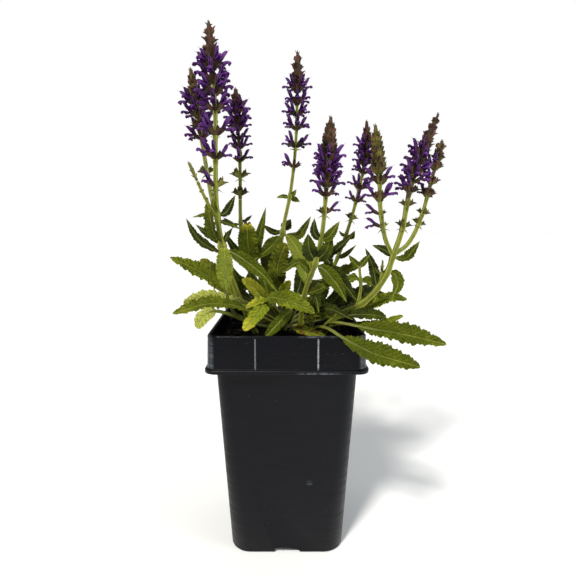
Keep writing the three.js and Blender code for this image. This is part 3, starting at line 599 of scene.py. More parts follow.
def makePot():
    band = potShape["bandWidth"] / 2
    lip = potShape["lipWidth"] / 2
    corner = potShape["bandCorner"]
    wall = potShape["wall"]
    top = potShape["height"]
    bottom = bandBottom
    outer = [bodyRing(0, 1.2), bodyRing(0.35, 0.55), bodyRing(0.8, 0.18), bodyRing(1.4, 0), bodyRing(66, 0),
             bodyRing(bottom, 0)]
    for z, half in ((0, lip - 0.5), (0.15, lip - 0.2), (0.45, lip - 0.03), (0.8, lip), (2.2, lip),
                    (2.5, lip - 0.2), (2.8, band + 0.3), (3.1, band + 0.05), (3.6, band),
                    (23, band - 0.5), (23.4, band - 0.56), (23.75, band - 0.75), (23.95, band - 1.05),
                    (24, band - 1.3)):
        outer.append(squareRing(bottom + z, half, corner))
    inner = [bodyRing(wall, wall + 0.5), bodyRing(wall + 0.5, wall), bodyRing(bottom, wall)]
    for z, inset, rounder in ((bottom + 1.4, 2, 1.6), (top - 0.7, 2.38, 1.6), (top - 0.3, 2.2, 1.5),
                              (top - 0.05, 1.9, 1.3), (top + 0.6, 1.7, 1.2)):
        inner.append(squareRing(z, band - inset, corner - rounder))
    shell = looseSolid("shell", outer)
    cavity = looseSolid("cavity", inner)
    for across in (True, False):
        cutFrom(shell, drainageBar(0, across))
        cutFrom(cavity, drainageBar(wall, across))
    cutFrom(shell, cavity)
    for side in range(4):
        angle = side * math.pi / 2
        middle = potShape["holeReach"] * math.cos(angle), potShape["holeReach"] * math.sin(angle)
        rings = [roundRing(potShape["holeWidth"] / 2, z, middle) for z in (-10, 10)]
        cutFrom(shell, looseSolid("hole", rings))
    heap = Heap()
    points = np.array([vertex.co for vertex in shell.data.vertices]) / millimetre
    for polygon in shell.data.polygons:
        heap.faces.append(np.array([list(polygon.vertices)]))
        heap.looks.append(np.array([2 if polygon.center.z > bandStart * millimetre else 0]))
    heap.points.append(points)
    heap.places.append(np.zeros_like(points))
    heap.tints.append(np.zeros_like(points))
    heap.count = len(points)
    bpy.data.objects.remove(shell)
    foot = potShape["centreFootRadius"]
    rings = [roundRing(foot - inset, z) for z, inset in ((0, 0.4), (0.3, 0.05), (0.8, 0), (4.4, 0))]
    skin(heap, np.array(rings), 0)
    for side in range(4):
        for hand in (-1, 1):
            roundedRib(side, hand, heap)
    materials = [makePotMaterial("potPlastic", potColour["paleWearAndShine"], 0.17),
                 makePotMaterial("ribHighlight", potColour["rib"], 0.2),
                 makePotMaterial("bandPlastic", potColour["paleWearAndShine"], 0.13)]
    makePiece("nurseryPot", heap, materials, ["pot"], 32)


makePot()
print("pot made")


# Each stem: the node it belongs to, the points its axis runs through, its radius at foot and tip, and its
# spike, measured down from the tip:
#   bud and profile: the length of its bud cone, and the cone's half width at some distances
#   tiers: where the pairs of bracts of an open cone end, when they aren't evenly spaced
#   whorls: the distance to every whorl; the highest are closed, and the lowest spent, in calyx only
#   budded, bloom and dropped: the last whorl with unopened buds at its middle, the flowers that are open in a
#     whorl that isn't full, and the share of flowers gone from the lowest open ones
#   husk: the size of spent cups; tip: how far the last bracts reach; fill: how thick the cone's core is
#   olive and red: how green and how red it is; green: the share of its stem that stays green
#   open: whether the cone's tiers stand apart; leafy: whether bracts and spent cups are all green
#   stalkBuds: the distance to single pairs of buds
#   size and seed: of its cups and flowers, and of its draws
stems = {
    "a": {"node": "leafy_stem_a", "radius": (2.3, 1.0),
          "path": [(-18, -4, 138), (-27, -7, 158), (-35, -13, 180), (-42, -19, 205), (-46, -20, 235),
                   (-46, -19, 270), (-46, -17, 300), (-50, -10, 354)],
          "spike": {"bud": 22,
                    "profile": [(0, 0.5), (2.3, 2.1), (5.8, 4.3), (11, 4.6), (17, 5.2), (22, 5.6)],
                    "tiers": [2.4, 5.8, 11.3, 16.5], "whorls": [24.5, 33, 42, 49, 60, 75, 90, 107],
                    "size": 1.12, "seed": 11, "open": True, "olive": 0.7, "red": 0.95, "green": 0.55,
                    "budded": 2, "tip": 3.4, "fill": 0.42, "husk": 1.05, "bloom": {7: [1]}}},
    "b": {"node": "leafy_stem_a", "radius": (1.7, 0.9),
          "path": [(-46, -20, 229), (-51, -12, 246), (-57, -5, 278), (-65, 2, 329)],
          "spike": {"bud": 19, "profile": [(0, 0.6), (3.2, 2.2), (8, 2.8), (19, 3.3)],
                    "whorls": [20, 27, 35, 43, 50, 73], "size": 1.04, "seed": 12, "olive": 1.5,
                    "red": 0.5, "green": 0.4}},
    "j": {"node": "leafy_stem_a", "radius": (1.2, 0.8),
          "path": [(-46, -20, 228), (-51, -28, 239), (-56, -31, 251), (-61, -32, 263)],
          "spike": {"bud": 10, "profile": [(0, 0.5), (3, 1.6), (7, 2.0), (10, 1.4)], "closed": 0,
                    "spent": 0, "size": 1.15, "seed": 13, "olive": 1.6, "red": 0.1,
                    "stalkBuds": (13.0, 16.5, 21.0, 26.0)}},
    "c": {"node": "leafy_stem_c", "radius": (1.9, 0.9),
          "path": [(-8, 11, 138), (-20, 17, 170), (-31, 21, 198), (-35, 24, 226), (-35, 25, 268),
                   (-37, 22, 321)],
          "spike": {"bud": 13, "profile": [(0, 0.6), (3.5, 2.6), (8, 4.0), (13, 4.4)],
                    "whorls": [14, 18, 24, 29, 36, 43, 52, 63, 76], "spent": 2, "size": 0.95, "seed": 14,
                    "olive": 0.1, "tip": 5, "dropped": (0.6, 0.35, 0.15), "husk": 1.3}},
    "d": {"node": "leafy_stem_d", "radius": (1.9, 0.9),
          "path": [(2, 11, 138), (-2, 17, 170), (-5, 23, 196), (-3, 28, 220), (3, 33, 250), (7, 36, 290),
                   (8, 36, 350)],
          "spike": {"bud": 20,
                    "profile": [(0, 0.5), (2.2, 1.4), (5.5, 3.1), (10.3, 4.8), (15, 5.4), (20, 5.6)],
                    "tiers": [2.2, 5.5, 10.3, 15.1, 19], "whorls": [21, 28, 37, 46, 56, 69, 84],
                    "spent": 0, "seed": 15, "open": True, "olive": 0.6, "red": 0.6, "tip": 6,
                    "green": 0.5, "budded": 2}},
    "e": {"node": "leafy_stem_e", "radius": (2.1, 1.0),
          "path": [(8, -9, 138), (12, -15, 176), (19, -18, 198), (24, -18, 222), (27, -14, 262),
                   (29, -10, 294)],
          "spike": {"bud": 18,
                    "profile": [(0, 0.6), (3.4, 2.0), (6.9, 3.2), (10.3, 3.8), (13.7, 4.2), (18, 5.4)],
                    "whorls": [19, 25, 30, 36, 41, 47, 53, 64], "closed": 2, "seed": 16, "olive": 0.9,
                    "red": 0.5, "green": 0.1, "tip": 5.2, "bloom": {7: [3]}}},
    "f": {"node": "leafy_stem_f", "radius": (1.8, 0.9),
          "path": [(15, 10, 138), (26, 17, 170), (38, 23, 197), (46, 27, 218), (53, 30, 242),
                   (60, 33, 275), (60, 33, 302)],
          "spike": {"bud": 15, "profile": [(0, 0.6), (3.5, 2.1), (7, 2.7), (15, 3.4)],
                    "whorls": [16, 22, 28, 34, 41, 53, 63, 76], "size": 0.92, "seed": 17, "olive": 0.3,
                    "green": 0.35}},
    "stalkG": {"node": "leafy_stem_g", "radius": (2.3, 1.9),
               "path": [(21, -3, 138), (34, -8, 159), (54, -12, 171), (67, -14, 188), (73, -12, 204)]},
    "g": {"node": "leafy_stem_g", "radius": (1.6, 1.1),
          "path": [(72.4, -12.2, 202), (66, -14, 216), (62, -16, 236), (61, -15, 257), (58, -12, 288)],
          "spike": {"bud": 25, "profile": [(0, 0.6), (3, 2.0), (8, 3.3), (17, 4.0), (25, 4.7)],
                    "whorls": [26, 31.5, 38, 49, 58.5, 67], "closed": 2, "spent": 2, "seed": 18,
                    "olive": 3.2, "red": 0.2, "green": 0.9, "tip": 5.6, "budded": 3, "husk": 0.65,
                    "leafy": True, "bloom": {2: [1, 4], 3: [0, 2, 3], 4: [1], 5: [0]}}},
    "h": {"node": "leafy_stem_g", "radius": (1.9, 1.0),
          "path": [(72.6, -12.2, 202.5), (79, -9, 221), (84, -5, 246), (94, 1, 275), (105, 6, 300)],
          "spike": {"bud": 27,
                    "profile": [(0, 0.5), (2.5, 1.3), (6.5, 2.6), (11, 3.7), (16, 4.5), (27, 5.3)],
                    "tiers": [2.5, 6.5, 11, 15, 19, 23], "whorls": [28, 33, 39, 46, 53, 60, 69.5, 84],
                    "spent": 2, "size": 1.02, "seed": 19, "open": True, "olive": 0.6, "red": 0.6,
                    "green": 0.15, "tip": 4.8, "bloom": {1: [0, 1], 2: [0, 1, 2, 3]}}},
    "i": {"node": "leafy_stem_g", "radius": (1.6, 0.9),
          "path": [(72, -12, 203), (84, -7, 211), (94, 0, 228), (101, 4, 252), (110, 10, 283)],
          "spike": {"bud": 14, "profile": [(0, 0.5), (1.5, 1.4), (4, 3.1), (8, 3.9), (14, 4.2)],
                    "tiers": [2.2, 5, 8.6, 12.5], "whorls": [15, 22, 33, 42, 55, 63], "spent": 2,
                    "size": 0.9, "seed": 20, "open": True, "olive": 1.5, "tip": 4.6,
                    "bloom": {1: [0, 1], 2: [1, 2]}}},
    "k": {"node": "leafy_stem_g", "radius": (1.0, 0.7),
          "path": [(62, -13.6, 181), (66, -6, 187), (69, 3, 199)],
          "spike": {"bud": 8, "profile": [(0, 0.4), (4, 1.4), (8, 1.7)], "closed": 0, "spent": 0,
                    "size": 0.7, "seed": 21, "olive": 1.6, "red": 0.2}},
    "p": {"node": "leafy_stem_g", "radius": (1.4, 0.8),
          "path": [(49, -11.2, 168), (52, -6, 180), (51, -4, 195)]},
}

# What a spike has unless it says otherwise.
usualSpike = {
    "whorls": [], "tiers": (), "closed": 1, "spent": 1, "size": 1.0, "open": False, "red": 0.4, "green": 0.3,
    "tip": 3.9, "fill": 0.5, "husk": 0.9, "dropped": (0.5, 0.17), "bloom": {}, "leafy": False,
}

for stem in stems.values():
    stem["line"] = Line(smoothPoints(stem["path"]))
    if "spike" in stem:
        stem["spike"] = {**usualSpike, **stem["spike"]}

# Directions that a blade's upper side faces.
up, tilted, front = (0, -0.35, 0.94), (0, -0.62, 0.78), (0, -0.97, 0.24)
back = (0, 0.5, 0.86)

# Looks of a leaf: how light it is, how far its foot and its tip have yellowed, how suddenly the tip turns,
# and whether its underside is in front. Lightness carries painted light and shade: deep leaves, inside the
# foliage, are painted shaded, and the brightest are painted sunlit.
fresh, deep, lime = (0.5, 0.0, 0.12, 3, False), (0.14, 0.0, 0.03, 3, False), (0.78, 0.04, 0.2, 3, False)
olive, golden, spotted = (0.36, 0.12, 0.3, 2, False), (0.95, 0.35, 0.4, 1, False), (0.6, 0.25, 0.15, 1, False)
fading, scorched = (0.95, 0.04, 0.78, 5, False), (0.46, 0.12, 1.3, 11, False)
sunlitLeaf, mild = (1.5, 0.08, 0.14, 3, False), (0.68, 0.02, 0.14, 3, False)
pale, draped = (0.7, 0.0, 1.15, 16, True), (0.62, 0.08, 0.2, 2, True)

# Every leaf, by the stem it grows on: the height of its foot, the points its midrib runs through as far as
# its tip, its full width, the direction it faces, its look and, for some, the share of it that is stalk.
leaves = {
    "crown": [
        (152, [(-30, -14, 160), (-37, -26, 170), (-39, -33, 184), (-39, -36, 197),
         (-39, -37, 210)], 11.5, front, pale, 0.7),
        (151, [(-34, -6, 172), (-51, -9, 186), (-67, -14, 196), (-79, -15, 202)], 14, tilted, mild, 0.43),
        (153, [(-34, 8, 173), (-53, 14, 188), (-65, 18, 198)], 13, tilted, olive),
        (150, [(-22, -16, 168), (-43, -27, 175), (-53, -32, 178),
         (-66, -36, 174)], 11, tilted, sunlitLeaf, 0.42),
        (149, [(-20, -18, 163), (-36, -30, 172), (-51, -44, 175), (-70, -48, 170)], 12, tilted, mild, 0.42),
        (148, [(-14, -10, 153), (-28, -20, 159), (-38, -34, 167), (-45, -46, 171), (-50, -55, 169),
         (-53, -58, 163)], 9, front, sunlitLeaf, 0.77),
        (150, [(-9, -16, 165), (-14, -27, 173), (-18, -36, 168),
         (-27, -43, 158)], 11, tilted, fading, 0.42),
        (151, [(-8, -15, 166), (-15, -25, 174), (-26, -36, 171)], 8, up, golden, 0.45),
        (153, [(-8, -18, 168), (-13, -31, 177), (1, -42, 177), (17, -51, 171)], 14, tilted, mild, 0.48),
        (151, [(4, -15, 163), (2, -27, 167), (-4, -37, 163), (-13, -46, 155)], 8, front, fresh, 0.45),
        (152, [(-3, -18, 175), (2, -30, 188)], 8, front, lime),
        (152, [(-21, -20, 181), (-29, -28, 189)], 9, front, golden),
        (148, [(3, -26, 156), (11, -39, 157), (25, -43, 153)], 8, tilted, spotted, 0.55),
        (150, [(30, -4, 158), (55, -6, 165), (71, -4, 172), (86, -2, 171)], 10, tilted, lime, 0.5),
        (150, [(44, 12, 168), (62, 16, 178)], 12, tilted, deep),
        (151, [(54, 23, 164), (78, 34, 166)], 13, up, olive),
        (152, [(24, 46, 176), (44, 74, 172)], 15, back, fresh),
        (153, [(-14, 46, 176), (-18, 76, 180)], 15, back, olive),
        (151, [(-45, 33, 168), (-66, 56, 174)], 14, back, fresh),
        (152, [(-48, 24, 166), (-73, 33, 166)], 12, up, lime),
        (154, [(12, 24, 186), (24, 38, 206)], 13, front, deep),
        (154, [(-12, 30, 184), (-18, 46, 206)], 13, front, deep),
        (154, [(9, 8, 178), (12, 14, 194)], 9, front, deep),
        (153, [(20, 4, 168), (29, 10, 183)], 12, front, deep),
        (153, [(-18, -4, 170), (-27, -2, 190)], 11, front, deep),
        (153, [(-12, -2, 172), (-18, 0, 191)], 10, front, fresh),
        (152, [(34, 4, 168), (45, 8, 187)], 12, front, deep),
    ],
    "a": [
        (209, [(-48, -23, 219), (-50, -24, 230), (-51, -25, 241)], 11.5, (-0.6, -0.75, 0.2), olive),
        (230, [(-53, -22, 230), (-62, -19, 229)], 5, tilted, fresh),
        (231, [(-47, -25, 236), (-46, -27, 242)], 4, front, fresh),
        (230, [(-40, -18, 232), (-34, -17, 243)], 6, front, deep),
        (227, [(-37, -22, 224), (-30, -22, 221)], 5, tilted, deep),
        (204, [(-53, -20, 210), (-61, -18, 217), (-67, -16, 228)], 7, tilted, deep),
        (211, [(-53, -13, 217), (-63, -5, 224)], 6, tilted, deep),
        (210, [(-40, -18, 216), (-36, -17, 222)], 4, front, deep),
        (208, [(-31, -24, 203), (-17, -28, 193), (-6, -27, 180)], 9.5, front, fresh),
    ],
    "c": [
        (186, [(-27, 7, 198), (-28, 4, 212), (-28, 2, 227)], 15, front, scorched),
        (190, [(-24, 12, 202), (-20, 10, 216), (-15, 6, 236)], 8, front, fresh),
        (224, [(-41, 20, 224), (-47, 17, 229)], 5, tilted, deep),
        (225, [(-31, 28, 227), (-27, 30, 231)], 4, tilted, deep),
        (197, [(-40, 14, 208), (-45, 8, 219)], 6, front, deep),
        (188, [(-38, 32, 200), (-48, 42, 212)], 9, tilted, deep),
        (176, [(-34, 2, 184), (-40, -2, 196)], 9, front, fresh),
    ],
    "d": [
        (218, [(4, 20, 211), (11, 6, 199), (15, -8, 182)], 13, front, draped),
        (217, [(-7, 24, 213), (-14, 10, 206), (-25, 2, 198)], 11, front, fresh),
        (219, [(-10, 25, 218), (-19, 22, 224)], 5, front, deep),
        (216, [(8, 26, 215), (13, 24, 221), (18, 22, 230)], 7, front, olive),
        (219, [(0, 35, 223), (3, 38, 228)], 9, front, deep),
        (244, [(-3, 30, 245), (-8, 27, 244)], 3.5, front, fresh),
        (244, [(6, 33, 243), (10, 32, 241)], 4.5, front, fresh),
        (245, [(5, 30, 247), (7, 28, 250)], 4, front, fresh),
        (176, [(-7, 6, 186), (-6, 5, 197), (-1, 2, 211)], 14.5, front, olive),
        (184, [(-9, 14, 194), (-9, 9, 206)], 9, front, deep),
        (190, [(6, 22, 198), (11, 24, 210)], 8, front, deep),
    ],
    "e": [
        (213, [(18, -22, 219), (18, -22, 228)], 6, front, deep),
        (213, [(28, -24, 217), (34, -26, 226)], 7, front, fresh),
        (199, [(15, -22, 207), (14, -20, 218)], 11, front, deep),
        (199, [(26, -22, 207), (30, -20, 217)], 9, front, deep),
        (198, [(32, -15, 206), (45, -8, 217)], 8, tilted, deep),
        (197, [(25, -22, 194), (33, -27, 185), (39, -30, 174)], 10.5, front, fresh),
        (197, [(29, -20, 194), (38, -24, 185), (47, -26, 173)], 10, front, deep),
        (190, [(8, -21, 199), (-3, -20, 192)], 8, tilted, fresh),
        (176, [(24, -20, 182), (34, -20, 188)], 8, tilted, olive),
        (149, [(22, -44, 161), (35, -55, 156), (49, -62, 150), (62, -68, 147),
         (75, -75, 145)], 16, tilted, fresh, 0.53),
        (158, [(26, -28, 169), (42, -38, 164)], 10, tilted, deep),
        (152, [(19, -27, 165), (31, -31, 165)], 7, tilted, fresh),
        (168, [(18, -34, 178), (20, -44, 170)], 9, up, deep),
    ],
    "f": [
        (216, [(42, 26, 216), (40, 25, 219)], 4, tilted, fresh),
        (216, [(49, 24, 214), (51, 22, 219)], 6, tilted, fresh),
        (188, [(40, 18, 188), (50, 16, 192), (60, 14, 197)], 10.5, tilted, fresh),
        (198, [(44, 15, 202), (51, 12, 209)], 4, front, deep),
        (190, [(30, 27, 200), (27, 30, 212)], 9, front, deep),
        (178, [(36, 30, 186), (52, 40, 190)], 10, tilted, deep),
    ],
    "stalkG": [
        (202, [(66, -14, 207), (58, -13, 210)], 6, front, deep),
        (202, [(80, -18, 202), (88, -20, 213)], 8, tilted, fresh),
        (192, [(74, -14, 190), (75, -18, 183), (71, -19, 175)], 9, front, fresh),
        (180, [(62, 4, 194), (57, 8, 207)], 8, front, deep),
        (170, [(62, 3, 176), (77, 9, 168)], 10, tilted, deep),
        (154, [(40, -22, 163), (54, -27, 165), (65, -31, 164)], 10, tilted, deep),
        (151, [(39, -20, 157), (60, -28, 159), (76, -31, 165)], 6, tilted, lime),
        (150, [(30, -36, 162), (50, -44, 160), (68, -54, 159), (93, -64, 155)], 16, tilted, fresh, 0.47),
    ],
    "k": [
        (188, [(64, -4, 191), (62, -4, 194)], 2.5, front, deep),
        (188, [(69, -4, 191), (72, -4, 194)], 2.5, front, deep),
    ],
    "p": [
        (193, [(46, -6, 199), (43, -6, 203)], 5, front, fresh),
        (193, [(55, -3, 199), (59, -2, 203)], 5, front, fresh),
        (186, [(46, -9, 187), (40, -14, 183)], 8, tilted, fresh),
        (184, [(57, -4, 184), (63, -5, 180)], 8, tilted, fresh),
    ],
}
leafShape = {
    "basalHeight": 155, "bluntWidth": 12, "taperedWidth": 15.5, "thickness": 0.5, "fold": 0.26,
    "toothPitch": 2.0, "toothDepth": 0.95, "veinPitch": 3.6, "veinSlant": 1.25, "pucker": 0.6, "crisp": 0.11,
    "crispWaves": (6.3, 3.1), "ribDepth": 0.4, "veinDepth": 0.16, "veinNet": 0.66, "toothShift": 0.37,
    "toothStart": 3, "twist": 0.08, "bendLength": 13, "firstSeed": 300,
    "stalkShare": (0.36, 0.08), "stalkHalf": (1.1, 0.7),  # of basal leaves, and of all others
    "step": 0.4, "rows": (14, 130), "columnWidth": 1.7, "columns": (7, 17),
}
leafColour = {
    "dark": rgb(34, 44, 0), "fresh": rgb(84, 95, 2), "lime": rgb(138, 148, 30), "sunlit": rgb(184, 188, 90),
    "yellow": rgb(208, 200, 62), "scorch": rgb(104, 58, 22), "vein": rgb(166, 168, 74),
    "under": rgb(130, 142, 46), "stalk": rgb(128, 134, 42), "stalkDark": rgb(70, 74, 18),
}
stemShape = {
    "step": 1.6, "jointSwell": 0.2, "jointLength": 2.4,
    "darkest": 0.9, "darkening": 0.12,  # how dark it gets, and over what share of its length
}
stemColour = {
    "green": rgb(122, 128, 28), "deep": rgb(72, 78, 10), "ridge": rgb(168, 170, 62), "flush": rgb(70, 48, 38),
}


def bladeWidth(share, blunt, tapered):
    if blunt and tapered:
        return np.sin(math.pi * share) ** 0.62
    if blunt:
        return np.sin(math.pi * share**1.2) ** 0.42
    return np.sin(math.pi * share**0.7) ** 0.9


def growStalk(heap, line, petiole, half, face, underInFront, tint):
    # the stalk runs on below the blade as its midrib
    last = petiole + (1 - petiole) * 0.72
    share = np.linspace(0, last, 10 + int(10 * petiole * 3))
    centre, along = line.at(share), line.along(share)
    side = unit(np.cross(along, np.array(face, float)))
    normal = np.cross(side, along)
    beyond = smoothRange(share, petiole * 0.9, last)  # from 0 below the blade to 1 at the end
    across = half * (1 - 0.78 * beyond) * (1 + 0.25 * np.exp(-((share / 0.05) ** 2)))
    turn = fullTurn(10)
    wide, high = np.cos(turn), np.sin(turn)
    high = np.where(high > 0, high * 0.55 - 0.35 * (1 - np.abs(wide)), high * 0.85)
    sink = (0.15 + 0.55 * beyond) * leafShape["thickness"] * (1 if underInFront else -1)
    rings = (centre[:, None] + side[:, None] * (across[:, None] * wide)[..., None]
             + normal[:, None] * (across[:, None] * high + sink[:, None])[..., None])
    skin(heap, rings, 2, (0, 0, 0.5), tint)


def growLeaf(heap, on, leaf, index):
    # a blade with its stalk: toothed, puckered between its veins, with a ribbed underside
    height, points, width, face, look = leaf[:5]
    stemLine = stems[on]["line"] if on != "crown" else None
    root = stemLine.at(stemLine.shareAtHeight(height)) if stemLine else (0.0, 0.0, height)
    line = Line(smoothPoints([tuple(root)] + points))
    basal = height < leafShape["basalHeight"]
    petiole = leaf[5] if len(leaf) > 5 else leafShape["stalkShare"][0 if basal else 1]
    stalkHalf = leafShape["stalkHalf"][0 if basal else 1]
    bladeLength = line.length * (1 - petiole)
    rows = int(np.clip(round(bladeLength / leafShape["step"]), *leafShape["rows"]))
    columns = int(np.clip(2 * round(width / leafShape["columnWidth"]) + 1, *leafShape["columns"]))
    share = np.linspace(0, 1, rows + 1)
    at = petiole + (1 - petiole) * share
    centre, along = line.at(at), line.along(at)
    side = unit(np.cross(along, np.array(face, float)))
    normal = np.cross(side, along)
    tapered = look is mild or width > leafShape["taperedWidth"]
    half = (width / 2) * bladeWidth(share, basal or width > leafShape["bluntWidth"], tapered)
    half = np.maximum(half, stalkHalf * (1 - share) + 0.12)
    bends = 2 * max(2, min(5, round(bladeLength / leafShape["bendLength"])))
    twist = (-leafShape["twist"] * half * np.sin(share * bends * 1.9 + index))[:, None]
    # from here on one row for each step along the blade, and one column for each across it
    distance, share, half = (share * bladeLength)[:, None], share[:, None], half[:, None]
    q = np.sin(np.linspace(-1, 1, columns) * 1.25)[None, :] / math.sin(1.25)
    hand = np.sign(q)
    # teeth: small lobes that lean towards the tip, uneven from one to the next
    chance = np.random.RandomState(leafShape["firstSeed"] + index)
    pitch = leafShape["toothPitch"] * (0.7 + width / 45)
    uneven = np.interp(distance, np.linspace(0, bladeLength, 9), chance.uniform(-0.5, 0.5, 9))
    phase = distance / pitch + leafShape["toothShift"] * hand + uneven
    cleft = 1 - np.sin(math.pi * (phase % 1.0) ** 1.25) ** 0.6
    ease = np.minimum(1, distance / leafShape["toothStart"])
    large = 1 - np.abs(np.sin(math.pi * phase / 3.3)) ** 0.8
    depth = np.minimum(0.2, leafShape["toothDepth"] / np.maximum(half, 1))
    edge = 1 - (depth * cleft + 0.03 * large) * ease
    x = half * q * (1 - (1 - edge) * np.abs(q) ** 4)
    away = np.abs(x)
    # fold, twist, pucker between the side veins, and a crisped margin
    rise = leafShape["fold"] * (np.sqrt(away**2 + 0.5) - math.sqrt(0.5))
    row = (distance - away * leafShape["veinSlant"]) / leafShape["veinPitch"]
    row = row + 0.2 * ripple(distance, x, index, 9)
    small = np.clip(width / 12, 0.35, 1)
    dome = np.abs(np.sin(math.pi * row)) ** 0.7 * smoothRange(away, 0.2, 1.6) * (1 - 0.6 * np.abs(q) ** 4)
    fine = ripple(distance, x, 40 + index, 2.3)
    pucker = leafShape["pucker"] * small * (dome + 0.35 * fine * smoothRange(away, 0.3, 1.2)) * ease
    broad, narrow = leafShape["crispWaves"]
    wave = np.sin(distance * 2 * math.pi / broad + hand * 1.3 + index)
    wave = wave + 0.7 * np.sin(distance * 2 * math.pi / narrow + hand * 2.1 + 2 * index + 3 * uneven)
    crisp = leafShape["crisp"] * half * np.abs(q) ** 2.5 * wave * ease
    groove = -leafShape["ribDepth"] * np.exp(-((away / 0.55) ** 2)) * (1 - 0.7 * share)
    ridge = leafShape["ribDepth"] * 1.2 * np.exp(-((away / 0.6) ** 2)) * (1 - 0.7 * share)
    overVeins = 1 - np.abs(np.sin(math.pi * row)) ** 0.5
    veinRidge = leafShape["veinDepth"] * small * overVeins * smoothRange(away, 0.2, 1)
    lift = rise + twist * q + pucker + crisp
    thick = leafShape["thickness"] * (1 - 0.45 * np.abs(q) ** 2) * (0.7 + 0.3 * small)
    light, yellow, tipYellow, turning, underInFront = look
    if underInFront:
        upper, lower = lift + ridge + veinRidge, lift - thick - groove
    else:
        upper, lower = lift + groove, lift - thick - ridge - veinRidge
    base = centre[:, None] + side[:, None] * x[..., None]
    top = base + normal[:, None] * upper[..., None]
    bottom = base + normal[:, None] * lower[..., None]
    if look is scorched:  # a ragged, dried end
        ragged = 0.5 + 0.3 * np.sin(x * 1.9 + 1) + 0.2 * np.sin(x * 4)
        drop = along[:, None] * (np.clip((share - 0.84) / 0.16, 0, 1) * ragged * -3)[..., None]
        top, bottom = top + drop, bottom + drop
    light = light + chance.uniform(-0.08, 0.08)
    turned = yellow + (tipYellow - yellow) * share**turning
    tint = packed(light, turned, float(look is spotted) + 0 * x).reshape(-1, 3)
    sheet(heap, top, bottom, (1, 0) if underInFront else (0, 1), packed(distance, x, half),
          np.vstack([tint, tint]))
    growStalk(heap, line, petiole, stalkHalf, face, underInFront, (light, yellow, 0.5))


def growStem(heap, stem, fromShare, toShare, look, nodes, darkFrom=1.0):
    # a square stem with soft edges and shallow grooves, thicker where leaves and branches leave it, and
    # darker above a share of its length
    line = stem["line"]
    count = max(6, int((toShare - fromShare) * line.length / stemShape["step"]))
    share = np.linspace(fromShare, toShare, count)
    centre = line.at(share)
    u, v = line.axes(np.minimum(share, nearTip))[1:]
    low, high = stem["radius"]
    radius = low + (high - low) * share
    for nodeShare in nodes:
        away = (share - nodeShare) * line.length / stemShape["jointLength"]
        radius = radius * (1 + stemShape["jointSwell"] * np.exp(-(away**2)))
    turn = fullTurn(16)
    edge = np.abs(np.sin(2 * turn))
    profile = 0.87 + 0.3 * edge**2.2
    x = radius[:, None] * profile * np.cos(turn)
    y = radius[:, None] * profile * np.sin(turn)
    rings = centre[:, None] + u[:, None] * x[..., None] + v[:, None] * y[..., None]
    dark = stemShape["darkest"] * smoothRange(share, darkFrom, darkFrom + stemShape["darkening"])
    skin(heap, rings, look, packed((share * line.length)[:, None], edge[None], dark[:, None]))


def makeBladeMaterial(name, under):
    material, net = newMaterial(name)
    colours = leafColour
    place, solid = net.read("place"), net.solid()
    light, yellow, spotty = net.split(net.read("tint"))
    veins = net.use(veinGroup, {"Place": place, "Pitch": leafShape["veinPitch"],
                                "Slant": leafShape["veinSlant"], "Net": leafShape["veinNet"]})
    patches = net.noise(solid, 75.0, 3.0)
    uneven = net.minus(net.timesPlus(net.noise(solid, 260.0, 2.0), 0.4, net.times(patches, 0.7)), 0.55)
    lightness = net.plus(light, uneven)
    # lightness runs from dark through fresh and lime to sunlit; its low end is painted shade on leaves deep
    # in the foliage, its high end painted sunlight
    body = net.mix(net.remap(lightness, 0.0, 0.6), colours["dark"], colours["fresh"])
    body = net.mix(net.remap(lightness, 0.5, 1.0), body, colours["lime"])
    body = net.mix(net.remap(lightness, 1.0, 1.6), body, colours["sunlit"])
    turned = net.timesPlus(uneven, 0.7, yellow)
    body = net.mix(net.remap(turned, 0.1, 0.8), body, colours["yellow"])
    spots = net.times(net.remap(net.noise(solid, 150.0, 3.0), 0.52, 0.6), spotty)
    dried = net.largest(net.times(spots, 0.9), net.remap(turned, 0.78, 1.0))
    body = net.mix(dried, body, colours["scorch"])
    if under:
        body = net.mix(net.timesPlus(dried, -0.6, 0.6), body, colours["under"])
    # pits and side veins darkened: painted shade in the hollows of the quilted blade, less on the underside
    # and where the leaf yellows
    pitShade = net.times(net.largest(veins["Pits"], net.times(veins["Veins"], 0.6)), 0.3 if under else 0.6,
                       net.remap(turned, 0.0, 0.5, (1.0, 0.25)))
    body = net.mix(pitShade, body, colours["dark"])
    ribs = net.largest(net.times(veins["Midrib"], 0.65), net.times(veins["Veins"], 0.42))
    if not under:  # seen from above only the midrib stays pale
        ribs = net.times(ribs, net.remap(net.positive(net.split(place)[1]), 0.7, 0.2, (0.1, 0.75)))
    ribs = net.times(ribs, net.remap(light, 0.1, 0.5, (0.55, 1.0)))  # fainter on dark leaves
    body = net.mix(ribs, body, colours["vein"])
    downy = net.down(solid, body, 0.2 if under else 0.05)
    relief = net.timesPlus(veins["Relief"], -1.0 if under else 1.0, net.times(downy["Height"], 0.25))
    net.finish(downy["Color"], net.remap(patches, 0.3, 0.7, (0.52, 0.68)), (relief, 1.0, 0.0007),
               {"Specular IOR Level": 0.14, "Subsurface Weight": 0.1, "Subsurface Scale": 0.0012})
    return material


def makeStalkMaterial():
    material, net = newMaterial("leafStalk")
    solid = net.solid()
    light = net.split(net.read("tint"))[0]
    # the stalk takes its leaf's lightness, its painted shade and painted sunlight included
    body = net.mix(net.remap(light, 0.0, 0.8), leafColour["stalkDark"], leafColour["stalk"])
    mottled = net.mottle(solid, leafColour["stalkDark"], body, 160.0, 1.6)
    downy = net.down(solid, mottled["Color"], 0.22)
    net.finish(downy["Color"], net.remap(mottled["Value"], 0.2, 0.8, (0.48, 0.62)),
               (downy["Height"], 0.4, 0.0002), {"Specular IOR Level": 0.3})
    return material


